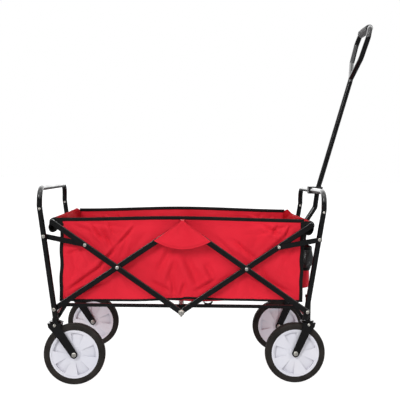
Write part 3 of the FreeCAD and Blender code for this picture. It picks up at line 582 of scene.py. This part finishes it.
# %% Where the creases run
drawn_creases = [
    (-138, 462, -198, 392, 5.0, 3.6), (-190, 400, -255, 322, 6.5, 4.0),
    (-225, 350, -340, 262, 7.5, 4.2), (-272, 468, -222, 402, 5.0, 3.6),
    (-242, 458, -205, 392, 4.8, 3.4), (-220, 474, -200, 430, 4.5, 2.8),
    (-275, 395, -345, 372, 7.0, 2.6), (-210, 300, -330, 255, 7.5, 3.0),
    (140, 428, 232, 352, 8.0, 3.4), (232, 350, 268, 262, 7.0, 3.0),
    (225, 474, 300, 430, 6.5, 3.4), (280, 470, 262, 432, 5.5, 2.6),
    (318, 468, 300, 428, 5.5, 2.8), (190, 325, 335, 262, 8.0, 3.0),
    (-100, 300, -20, 262, 8.0, 2.8), (110, 310, 30, 262, 8.0, 2.6),
    (-26, 410, -74, 318, 12.0, 3.4), (-16, 370, -48, 272, 10.5, 3.2),
    (2, 392, 60, 262, 14.5, 5.0), (-30, 318, -20, 248, 7.5, 3.0),
    (66, 362, 98, 290, 11.0, 3.2), (10, 300, -4, 246, 7.0, 2.8),
]


def wall_creases(seed):
    """The creases of one wall: fans from the corners and crossings, and the drawn ones."""
    dice = random.Random(seed)
    top_x, top_z = 0.345, 0.476
    foot_x, foot_height = 0.340, 0.248
    cross_x, cross_z = 0.187, 0.340
    made = []
    for way in (-1, 1):
        near_corner = (0.0, -88.0) if way < 0 else (-92.0, -180.0)
        made += fan_of_creases(dice, (way * top_x, top_z), near_corner, 6, 0.20, 0.0055, 0.0022)
        cross = (way * cross_x, cross_z)
        made += fan_of_creases(dice, cross, (20.0, 160.0), 6, 0.13, 0.0085, 0.0022)
        made += fan_of_creases(dice, cross, (200.0, 340.0), 5, 0.13, 0.0085, 0.0020)
        low = (20.0, 80.0) if way < 0 else (100.0, 160.0)
        made += fan_of_creases(dice, (way * foot_x, foot_height), low, 4, 0.15, 0.008, 0.0022)
    for xa, za, xb, zb, wide, deep in drawn_creases:
        ends = (xa / 1000.0, za / 1000.0), (xb / 1000.0, zb / 1000.0)
        made.append((*ends, 0.00085 * wide, 0.0017 * deep))
    return made


side_creases = {"near": wall_creases(11), "far": wall_creases(23)}
print(len(side_creases["near"]), "creases on each side wall")

# %% [markdown]
# ## The side walls
# Each side wall is one long panel of red cloth. Its top edge rises a little to the middle, its
# bottom edge is drawn up there, and away from the bound edges it gives way inwards.

# %% The side walls
def through(points, x):
    """A smooth height at x through a few (x, height) points."""
    for (xa, za), (xb, zb) in zip(points, points[1:]):
        if x <= xb or xb == points[-1][0]:
            return za + (zb - za) * smooth((x - xa) / (xb - xa))


rim_heights = {"near": [(-0.36, 0.4800), (0.0, 0.4890), (0.36, 0.4850)],
               "far": [(-0.36, 0.4850), (0.02, 0.4965), (0.36, 0.4910)]}
foot_heights = [(-0.36, 0.2372), (-0.15, 0.2388), (-0.002, 0.2445), (0.010, 0.2478),
                (0.15, 0.2440), (0.36, 0.2425)]
wall_ends = (-0.3552, 0.3548)
wall_length, wall_height = wall_ends[1] - wall_ends[0], 0.257
wall_out, wall_limit = 0.2215, 0.2242
bound_edge = 0.030


def rim_z(side, x):
    """The top edge of a side wall above a place along the wagon."""
    return through(rim_heights[side], x - mid_x)


def foot_z(x):
    """The bottom edge, with a small step at the middle where the fold pulls it up."""
    return through(foot_heights, x - mid_x)


def wall_y(side, x, z):
    """How far out a side wall lies at a point."""
    from_ends = min(x - mid_x - wall_ends[0], mid_x + wall_ends[1] - x)
    free = smooth(min(from_ends, z - foot_z(x), rim_z(side, x) - z) / bound_edge)
    give = 0.0030 * math.sin(math.pi * (x - mid_x - wall_ends[0]) / wall_length) * free
    folds = crease_depth(x - mid_x, z, side_creases[side]) * (0.30 + 0.70 * free)
    spot = Vector((x * 9.0, z * 9.0, 3.0 if side == "near" else 8.0))
    crumple = 0.0018 * noise.noise(spot) + 0.0008 * noise.noise(spot * 3.7)
    out = wall_out - give - folds - crumple * (0.3 + 0.7 * free)
    return min(out, wall_limit)


def wall_point(side, x, z, off=0.0):
    way = -1.0 if side == "near" else 1.0
    return Vector((x, way * (wall_y(side, x, z) + off), z))


side_walls = {}
for side in ("near", "far"):
    def place(u, v, side=side):
        x = mid_x + wall_ends[0] + u * wall_length
        return wall_point(side, x, foot_z(x) + v * (rim_z(side, x) - foot_z(x)))
    size = (wall_length, wall_height)
    side_walls[side] = cloth(f"{side}_red_wall", place, 241, 87, size, red_cloth)
    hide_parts(f"{side}_wall")
    sew_on(side_walls[side])
print("side wall", round(wall_length, 3), "by", round(wall_height, 3))

# %% [markdown]
# ## The black tape round each side wall
# A raw edge of cloth frays, so a folded tape is sewn over it. The tape is a flat loop of section
# points, carried round the wall's outline on the wall's own surface, with a row of stitches near
# its inner edge.

# %% The black tape round each side wall
tape_wide = 0.0090
tape_section = [(tape_wide, 0.0012), (0.7 * tape_wide, 0.0017), (0.15 * tape_wide, 0.0018),
                (-0.0010, 0.0010), (-0.0014, 0.0), (-0.0010, -0.0010), (0.15 * tape_wide, -0.0018),
                (0.7 * tape_wide, -0.0017), (tape_wide, -0.0012)]


def outline(side, inset, per_side=90, per_end=32):
    """The (x, z, at an end) points round a side wall, moved in from its edge."""
    left, right = mid_x + wall_ends[0] + inset, mid_x + wall_ends[1] - inset
    low = 0.65 * inset
    points = []
    for i in range(per_side):
        x = mid_x + wall_ends[0] + wall_length * i / (per_side - 1)
        points.append((x, rim_z(side, x) - inset, False))
    for i in range(per_end):
        start, stop = rim_z(side, right) - inset, foot_z(right) + low
        wobble = 0.0012 * math.sin(math.pi * i / per_end) * math.sin(0.7 * i)
        points.append((right + wobble, start + (stop - start) * i / per_end, True))
    for i in range(per_side):
        x = right + (left - right) * i / per_side
        points.append((x, foot_z(x) + low, False))
    for i in range(per_end):
        start, stop = foot_z(left) + low, rim_z(side, left) - inset
        wobble = 0.0014 * math.sin(math.pi * i / per_end) * math.sin(0.55 * i)
        points.append((left + wobble, start + (stop - start) * i / per_end, True))
    return points


def tape_point(side, place, off):
    """The tape lies on both faces of the cloth, but only outside where an end wall is sewn on."""
    x, z, at_end = place
    return wall_point(side, x, z, max(off, 0.0) if at_end else off)


for side in ("near", "far"):
    rings = [[tape_point(side, spot, off) for spot in outline(side, inset)]
             for inset, off in tape_section]
    sections = [list(ring) for ring in zip(*rings)]
    tape = swept(f"{side}_wall_tape", sections, black_tape, True)
    row = [tape_point(side, spot, 0.0017) for spot in outline(side, tape_wide - 0.0016)]
    outward = Vector((0, -1 if side == "near" else 1, 0))
    stitching = seam(f"{side}_wall_stitching", row + row[:1], outward, thread)
    sew_on(tape, stitching)
print("tape", tape_wide, "wide")

# %% [markdown]
# ## The end walls
# The end walls are shorter panels between the side walls. Each one leans out at its top and
# reaches the roll of cloth round the top tube. It hangs in soft upright folds.

# %% The end walls
end_half_y = 0.2205
end_profile = [(0.3486, floor_z + 0.002), (0.3490, 0.330), (0.3492, 0.415), (0.3500, 0.436),
               (0.3524, 0.4530), (0.3568, 0.4660), (0.3626, 0.4750), (0.3690, 0.4798),
               (0.3750, 0.4808)]
end_length = sum(math.dist(a, b) for a, b in zip(end_profile, end_profile[1:]))


def along_profile(profile, share):
    """The point at a share of a profile's length."""
    lengths = [math.dist(a, b) for a, b in zip(profile, profile[1:])]
    left = share * sum(lengths)
    for (a, b), length in zip(zip(profile, profile[1:]), lengths):
        if left <= length or b == profile[-1]:
            t = min(1.0, left / length)
            return a[0] + (b[0] - a[0]) * t, a[1] + (b[1] - a[1]) * t
        left -= length


def end_creases(seed):
    """Eleven upright folds across an end wall."""
    dice = random.Random(seed)
    made = []
    for n in range(11):
        y = -0.20 + 0.04 * n + dice.uniform(-0.012, 0.012)
        head = (y, dice.uniform(0.40, 0.455))
        foot = (y + dice.uniform(-0.03, 0.03), dice.uniform(0.25, 0.33))
        made.append((head, foot, dice.uniform(0.007, 0.013), dice.uniform(0.0012, 0.0032)))
    return made


rear_bulge, bulge_z, bulge_high = 0.0105, 0.275, 0.035
corner_lift, corner_pull = {-1.0: 0.0055, 1.0: 0.0115}, 0.008
for word, way in (("rear", -1.0), ("front", 1.0)):
    creases = end_creases(5 if way < 0 else 9)

    def place(u, v, way=way, creases=creases):
        y = (2.0 * u - 1.0) * end_half_y
        out, z = along_profile(end_profile, v)
        free = smooth(min(u, 1.0 - u) / 0.08) * smooth(v / 0.12) * smooth((1.0 - v) / 0.15)
        spot = Vector((y * 10.0, z * 10.0, 5.0 * way))
        give = 0.004 * math.sin(math.pi * u) * math.sin(math.pi * v) + 0.0012 * noise.noise(spot)
        if way < 0.0:
            give -= rear_bulge * math.exp(-(((z - bulge_z) / bulge_high) ** 2))
        folds = crease_depth(y, z, creases)
        far_corner = smooth((u - 0.86) / 0.14)
        lift = corner_lift[way] * far_corner * smooth((v - 0.70) / 0.12)
        pull = corner_pull * far_corner * smooth((v - 0.80) / 0.2)
        return Vector((mid_x + way * (out - pull - (give + folds) * free), y, z + lift))

    # The end wall takes the darker red copy of the cloth, which is painted shade.
    end_wall = cloth(f"{word}_red_end", place, 121, 71, (2.0 * end_half_y, end_length), shaded_red_cloth)
    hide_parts(f"{word}_wall")
    sew_on(end_wall)
print("end wall", round(2.0 * end_half_y, 3), "by", round(end_length, 3))

# %% [markdown]
# ## The cloth rolled over the top tubes
# At each end the cloth goes round the top tube and is sewn to itself, so the tube lies in a
# sleeve. It is a turned tube whose radius ripples where the cloth gathers. A black cuff closes
# each end of the sleeve. It hangs down a little, because nothing fills it there.

# %% The cloth rolled over the top tubes
sleeve_half, sleeve_radius, lining_radius = 0.2055, 0.0112, 0.0084
cuff_over, cuff_past, cuff_radius = 0.016, 0.0215, 0.0128


def droop(way, angle):
    """A cuff hangs down under the tube's end, and both cuffs lean to the rear."""
    down = math.radians(-98.0 if way < 0.0 else -106.0)
    return 0.0175 * max(0.0, math.cos(angle - down)) ** 3.0


def sleeve(word, way, body):
    """The red sleeve and its two black cuffs, which turn with the bar body."""
    low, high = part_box(f"top_tube_{word}")
    centre = Vector(((low.x + high.x) / 2.0, 0.0, (low.z + high.z) / 2.0))

    def gather(along, angle):
        spot = Vector((along * 16.0, math.cos(angle) * 1.4, math.sin(angle) * 1.4 + way))
        folds = noise.noise(spot)
        twist = 0.35 * math.sin(along * 170.0 + 3.0 * angle)
        return 0.0011 * folds + 0.0003 * twist

    rows = 84
    outer = [(-sleeve_half + 2.0 * sleeve_half * i / rows, sleeve_radius) for i in range(rows + 1)]
    inner = [(along, lining_radius) for along, _ in reversed(outer)]
    # The sleeve takes the darker red copy of the cloth, which is painted shade.
    red = turned(f"{word}_red_sleeve", centre, outer + inner, shaded_red_cloth, 40, gather)
    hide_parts(f"{word}_hem")
    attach(red, body)
    cuffs = []
    for side, name in ((-1.0, "near"), (1.0, "far")):
        y0, y1 = side * (sleeve_half - cuff_over), side * (sleeve_half + cuff_past)
        steps = 12
        outer = [(y0 + (y1 - y0) * i / steps, cuff_radius - 0.0006 * (i % 3 == 0))
                 for i in range(steps + 1)]
        inner = [(y1, 0.0086), (y0, 0.0086)]
        lean = (y1 - y0) * 0.4

        def hang(along, angle, y0=y0, lean=lean):
            near_end = smooth((along - y0) / lean)
            return gather(along, angle) + droop(way, angle) * near_end

        cuff = turned(f"{word}_{name}_cuff", centre, outer + inner, black_tape, 56, hang)
        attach(cuff, body)
        cuffs.append(cuff)
    return red, cuffs


for word, way, body in (("rear", -1.0, "bars_a"), ("front", 1.0, "bars_c")):
    roll, cuffs = sleeve(word, way, body)
    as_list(cuffs)
print("sleeves on both top tubes")

# %% [markdown]
# ## Gussets at the corners
# Between the side wall and the cuff a small black patch closes the corner. It is a four cornered
# piece with one shallow fold.

# %% Gussets at the corners
gusset_y = 0.2228
gusset_size = (0.026, 0.040)


def gusset(word, way, side_name, side):
    """A black patch from a corner of the side wall out under the top tube."""
    corners = ((0.3480, 0.4815), (0.3720, 0.4800), (0.3770, 0.4560), (0.3500, 0.4380))

    def place(u, v):
        top = Vector(corners[0]).lerp(Vector(corners[1]), u)
        foot = Vector(corners[3]).lerp(Vector(corners[2]), u ** 1.4)
        at = top.lerp(foot, v)
        fold = 0.0015 * math.sin(9.0 * u + 4.0 * v) * math.sin(math.pi * v)
        return Vector((mid_x + way * at.x, side * gusset_y + fold, at.y))

    patch = cloth(f"{word}_{side_name}_gusset", place, 16, 16, gusset_size, black_tape, 0.0016)
    sew_on(patch)
    return patch


for word, way in (("rear", -1.0), ("front", 1.0)):
    for name, side in (("near", -1.0), ("far", 1.0)):
        patch = gusset(word, way, name, side)
print("four gussets")

# %% [markdown]
# ## The floor of the basket
# The floor lies on the folding floor bars. It is cloth with no board, so it dips between the
# bars and shows the seam across its middle, where it folds. A short webbing strap under it is
# pulled to fold the wagon.

# %% The floor of the basket
floor_half_x, floor_half_y = 0.3486, 0.2207
floor_thick = 0.0018


def floor_place(u, v):
    """The cloth dips between the bars, rises at its seam and turns up to the side walls."""
    x, y = (2.0 * u - 1.0) * floor_half_x, (2.0 * v - 1.0) * floor_half_y
    dip = 0.0035 * math.sin(math.pi * v) * (0.4 + 0.6 * abs(math.sin(2.0 * math.pi * u)))
    sag = 0.0055 * math.exp(-(((x - 0.045) / 0.085) ** 2))
    edge_dip = sag * (1.0 - 0.8 * math.sin(math.pi * v))
    ridge = 0.0018 * math.exp(-((x / 0.008) ** 2))
    wrinkle = 0.0012 * noise.noise(Vector((x * 11.0, y * 11.0, 1.0)))
    wrinkle += 0.0009 * noise.noise(Vector((x * 34.0, y * 20.0, 6.0)))
    free = smooth(min(u, 1.0 - u, v, 1.0 - v) / 0.06)
    z = floor_z + 0.0035 - edge_dip - (dip - wrinkle) * free + ridge * free
    turn_up = 1.0 - smooth(min(v, 1.0 - v) / 0.030)
    return Vector((mid_x + x, y, z + max(0.0, foot_z(mid_x + x) + 0.003 - z) * turn_up))


floor_size = (2.0 * floor_half_x, 2.0 * floor_half_y)
floor_sheet = cloth("red_floor", floor_place, 141, 91, floor_size, red_cloth, floor_thick)
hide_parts("floor_cloth")
sew_on(floor_sheet)
seam_rows = []
for offset in (-0.004, 0.004):
    u = 0.5 + offset / (2.0 * floor_half_x)
    path = [floor_place(u, 0.02 + 0.96 * i / 89.0) + Vector((0, 0, floor_thick / 2.0))
            for i in range(90)]
    row = seam(f"floor_red_seam_{len(seam_rows)}", path, Vector((0, 0, 1)), red_thread)
    sew_on(row)
    seam_rows.append(row)


strap_x, strap_radius, strap_drop, strap_wide = 0.078, 0.013, 0.0085, 0.025


def strap_place(u, v):
    """A half loop of webbing that hangs under the floor's near edge."""
    angle = math.pi * u
    return Vector((mid_x + strap_x + strap_radius * math.cos(angle), strap_wide * v - wall_out,
                   floor_z - 0.0005 - strap_drop * math.sin(angle)))


strap = cloth("pull_strap_tab", strap_place, 25, 9, (0.033, strap_wide), black_tape, 0.0016)
sew_on(strap)
print("floor", floor_size)

# %% [markdown]
# ## The flaps over the upper pivots
# A fan of red cloth hangs from the rim over each upper pivot, so that no finger gets between the
# bars. It starts on the wall, passes over the pivot like a small hood and fans out below, with a
# hem all round and two rows of stitches.

# %% The flaps over the upper pivots
flap_low, flap_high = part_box("flap_far")
flap_y = flap_low.y + 0.0012
flap_reach = (flap_high.x - flap_low.x) / 2.0
flap_top = flap_high.z + 0.0025
flap_foot = flap_low.z
flap_corner_z = flap_top - 0.0600
flap_apex = 0.004
hood = 0.25


def flap_half_width(drop):
    """Half the flap's width at a share of its drop below the pivot."""
    return flap_apex + (flap_reach - flap_apex) * drop ** 0.97


def flap_place(side, u, v, off=0.0):
    """u runs across, -1 to 1; v runs from the wall over the hood and down the fan."""
    if v < hood:
        t = v / hood
        y = 0.2240 + (flap_y - 0.2240) * smooth(t * 0.95 + 0.05)
        z = flap_top - 0.001 + 0.002 * math.sin(math.pi * t) - 0.0015 * t * t
        return Vector((mid_x + u * (0.007 - 0.003 * t), side * (y + off * t), z + off * (1.0 - t)))
    drop = (v - hood) / (1.0 - hood)
    arc = (1.0 - u * u) * (flap_corner_z - flap_foot)
    fan_top = flap_top - 0.0025
    z = fan_top - (fan_top - flap_corner_z + arc) * drop
    billow = 0.0030 * math.sin(math.pi * min(1.0, drop * 1.05)) * (1.0 - u * u)
    pleat = 0.0009 * math.sin(u * 8.0 + 1.0) * drop
    pleat += 0.0008 * noise.noise(Vector((u * 2.0, drop * 3.0, side)))
    return Vector((mid_x + u * flap_half_width(drop), side * (flap_y + billow + pleat + off), z))


for name, side in (("near", -1.0), ("far", 1.0)):
    def place(u, v, side=side):
        return flap_place(side, 2.0 * u - 1.0, v)
    flap = cloth(f"{name}_red_flap", place, 61, 57, (0.13, 0.105), red_cloth, 0.0014)
    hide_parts(f"flap_{name}")
    sew_on(flap)
    for row, inset in enumerate((0.05, 0.10)):
        reach, top, foot = 1.0 - inset, 0.30, 0.985 - inset * 0.5
        spots = [(-reach, top + (foot - top) * i / 40.0) for i in range(41)]
        spots += [(-reach + 2.0 * reach * i / 60.0, foot) for i in range(1, 61)]
        spots += [(reach, foot - (foot - top) * i / 40.0) for i in range(1, 41)]
        path = [flap_place(side, u, v, 0.0008) for u, v in spots]
        hem = seam(f"{name}_flap_red_seam_{row}", path, Vector((0, side, 0)), red_thread)
        sew_on(hem)
print("flaps", round(2.0 * flap_reach, 3), "wide")

# %% [markdown]
# ## The front pockets
# Two pockets sit on the front wall. The lower half is red cloth and bulges, the upper half is
# knitted net, with a black band between them and a hem with a drawstring on top. The net is real
# thin bars of a diamond grid, so the wall shows through it.

# %% The front pockets
base_low, base_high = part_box("pocket_bases")
net_low, net_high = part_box("pocket_meshes")
pocket_half = 0.0655
pocket_deep = net_high.x - net_low.x
pocket_y = 0.128
pocket_round = 0.21
band_z, lip_z = base_high.z, net_high.z


def signed_power(value, power):
    """A power that keeps the value's sign, which makes a circle squarer."""
    return math.copysign(abs(value) ** power, value)


def pouch(side, u, z, off=0.0):
    """A point of the pouch; u runs round its open side from wall to wall."""
    angle = math.pi * u
    rise = (z - base_low.z) / (lip_z - base_low.z)
    base_bulge = 0.06 * math.sin(math.pi * min(1.0, rise * 2.0))
    net_bulge = 0.34 * smooth((rise - 0.42) / 0.2) * (1.0 - 0.55 * smooth((rise - 0.72) / 0.28))
    deep = pocket_deep * (0.80 + base_bulge + net_bulge)
    gathers = 0.0010 * math.sin(22.0 * u + 2.0 * side) * smooth((rise - 0.75) / 0.2)
    sag = 0.0012 * noise.noise(Vector((u * 6.0, z * 40.0, side)))
    y = side * pocket_y - (pocket_half - 0.0025 + off) * signed_power(math.cos(angle), 0.42)
    x = net_low.x + 0.0004 + (deep + gathers + sag + off) * max(0.0, math.sin(angle)) ** 0.55
    return Vector((x, y, z))


def pocket_band(name, side, low, high, off):
    """A black tape round the pocket between two heights."""
    def place(u, v):
        bulge = 0.0008 * math.sin(math.pi * v)
        return pouch(side, u, low + (high - low) * v, off + bulge)
    band = cloth(name, place, 73, 7, (pocket_round, high - low), black_tape, 0.0016)
    sew_on(band)
    return band


print("pocket", round(2.0 * pocket_half, 3), "wide")

# %% [markdown]
# ## The pieces of a pocket
# The red base is closed at its bottom. The net is a diamond grid of thin threads, and the band
# and the lip are tapes that go round it.

# %% The pieces of a pocket
base_top = band_z - 0.001
base_foot = base_low.z
bottom_share, bottom_rise = 0.25, 0.004
for name, side in (("near", -1.0), ("far", 1.0)):
    def place(u, v, side=side):
        if v < bottom_share:
            rim = pouch(side, u, base_foot + bottom_rise)
            t = v / bottom_share
            inner = Vector((net_low.x + 0.001, rim.y, base_foot))
            mixed = inner.lerp(rim, smooth(t))
            mixed.z = base_foot + bottom_rise * t * t
            return mixed
        up = (v - bottom_share) / (1.0 - bottom_share)
        return pouch(side, u, base_foot + bottom_rise + (base_top - base_foot - bottom_rise) * up)

    base = cloth(f"{name}_pocket_red_base", place, 73, 33, (pocket_round, 0.09), red_cloth, 0.0012)
    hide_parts("pocket_bases")
    sew_on(base)
    columns, rows = 70, 20
    points = []
    for i in range(columns + 1):
        for j in range(rows + 1):
            u = min(1.0, (i + 0.5 * (j % 2)) / columns)
            points.append(pouch(side, u, band_z + (lip_z - band_z - 0.002) * j / rows))
    net = add_piece(f"{name}_pocket_net", points, grid_faces(columns + 1, rows + 1), black_net)
    wires = net.modifiers.new("threads", "WIREFRAME")
    wires.thickness = 0.0016
    wires.use_even_offset = False
    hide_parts("pocket_meshes")
    sew_on(net)
    band = pocket_band(f"{name}_pocket_band", side, band_z - 0.005, band_z + 0.004, 0.0012)
    lip = pocket_band(f"{name}_pocket_lip", side, lip_z - 0.009, lip_z - 0.001, 0.0006)
print("two pockets")

# %% [markdown]
# ## Zinc heads on painted parts
# The tips of the links and the shoulders of the forks carry zinc rivets that belong to the same
# body as the painted steel. A thin domed cap, turned from a profile, covers each painted head.

# %% Zinc heads on painted parts
def dome(name, at, side, radius, high, body):
    """A domed head whose flat side lies at a point and faces along Y."""
    rows, pin_point = 6, 0.00005
    profile = [(0.0, radius)]
    for i in range(rows + 1):
        turn = 0.5 * math.pi * i / rows
        rise = side * (0.35 + 0.65 * math.sin(turn)) * high
        profile.append((rise, max(pin_point, radius * math.cos(turn) ** 0.6)))
    profile.append((0.0, pin_point))
    head = turned(name, at, profile, zinc, 28)
    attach(head, body)
    return head


link_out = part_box("front_links")[1].y - 0.0022
low_pivot_z, half_bar = 0.212, 0.227
link_tip_x = mid_x + 1.5 * half_bar * math.cos(open_angle)
link_tip_z = low_pivot_z + 1.5 * half_bar * math.sin(open_angle)
for name, side in (("near", -1.0), ("far", 1.0)):
    link_tip = Vector((link_tip_x, side * link_out, link_tip_z))
    dome(f"front_link_{name}_head", link_tip, side, 0.0052, 0.0026, "front_link")
plate_half = 0.020
for end, bolt_z in (("rear", 0.173), ("front", 0.175)):
    for side_name in ("near", "far"):
        low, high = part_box(f"{end}_fork_{side_name}")
        body = "rear_frame" if end == "rear" else f"front_fork_{side_name}"
        stem_x = low.x + plate_half if end == "rear" else high.x - plate_half
        middle_y, out = (low.y + high.y) / 2.0, (high.y - low.y) / 2.0 - 0.0026
        for face in (-1.0, 1.0):
            at = Vector((stem_x, middle_y + face * out, bolt_z))
            dome(f"{end}_{side_name}_fork_bolt_{int(face + 1)}", at, face, 0.0048, 0.0031, body)
print("ten zinc heads")

# %% [markdown]
# ## The tyres
# The tyres are moulded with flat tread ribs and thin rings on the sidewall. They are turned on
# the wheel's own axis from a profile, which keeps every ring round.

# %% The tyres
half_tyre = [(0.0120, 0.0690), (0.0137, 0.0716), (0.0143, 0.0742), (0.0139, 0.0750),
             (0.0144, 0.0758), (0.0148, 0.0790), (0.0143, 0.0798), (0.0147, 0.0807),
             (0.0143, 0.0838), (0.0130, 0.0866), (0.0116, 0.0878), (0.0108, 0.0872),
             (0.0101, 0.0880), (0.0076, 0.0886), (0.0070, 0.0876),
             (0.0062, 0.0876), (0.0056, 0.0889), (0.0026, 0.0890), (0.0020, 0.0879)]
tyre_profile = half_tyre + [(-along, radius) for along, radius in reversed(half_tyre)]
for end in ("rear", "front"):
    for side in ("near", "far"):
        low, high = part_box(f"tyre_{end}_{side}")
        centre = (low + high) / 2.0
        tyre = turned(f"{end}_{side}_tyre", centre, tyre_profile, tyre_rubber, 128)
        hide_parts(f"tyre_{end}_{side}")
        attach(tyre, f"wheel_{end}_{side}")
print("four tyres")

# %% [markdown]
# ## The foam grip
# A foam tube is pushed over the cross piece of the handle's loop. It is a little thicker in the
# middle, rounded at its ends, and the hand has left shallow dents in it.

# %% The foam grip
grip_low, grip_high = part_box("handle_grip")
grip_centre = (grip_low + grip_high) / 2.0
grip_radius = (grip_high.z - grip_low.z) / 2.0
grip_half = (grip_high.y - grip_low.y) / 2.0
grip_profile = []
grip_rows, grip_end, bore_edge = 44, 0.006, 0.0088
for i in range(grip_rows + 1):
    share = 2.0 * i / grip_rows - 1.0
    along = share * grip_half
    into_end = max(0.0, (abs(along) - grip_half + grip_end) / grip_end)
    round_end = math.sqrt(max(0.0, 1.0 - into_end ** 2))
    radius = (grip_radius - 0.0008) * (0.94 + 0.06 * (1.0 - share * share))
    grip_profile.append((along, bore_edge + (radius - bore_edge) * (0.25 + 0.75 * round_end)))
grip_profile += [(grip_half, 0.0083), (-grip_half, 0.0083)]


def dents(along, angle):
    """The shallow marks that a hand leaves."""
    spot = Vector((along * 45.0, math.cos(angle) * 1.6, math.sin(angle) * 1.6))
    return 0.0007 * noise.noise(spot)


grip = turned("foam_grip", grip_centre, grip_profile, foam, 64, dents)
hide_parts("handle_grip")
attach(grip, "handle")
print("grip", round(2.0 * grip_half, 3), "long")
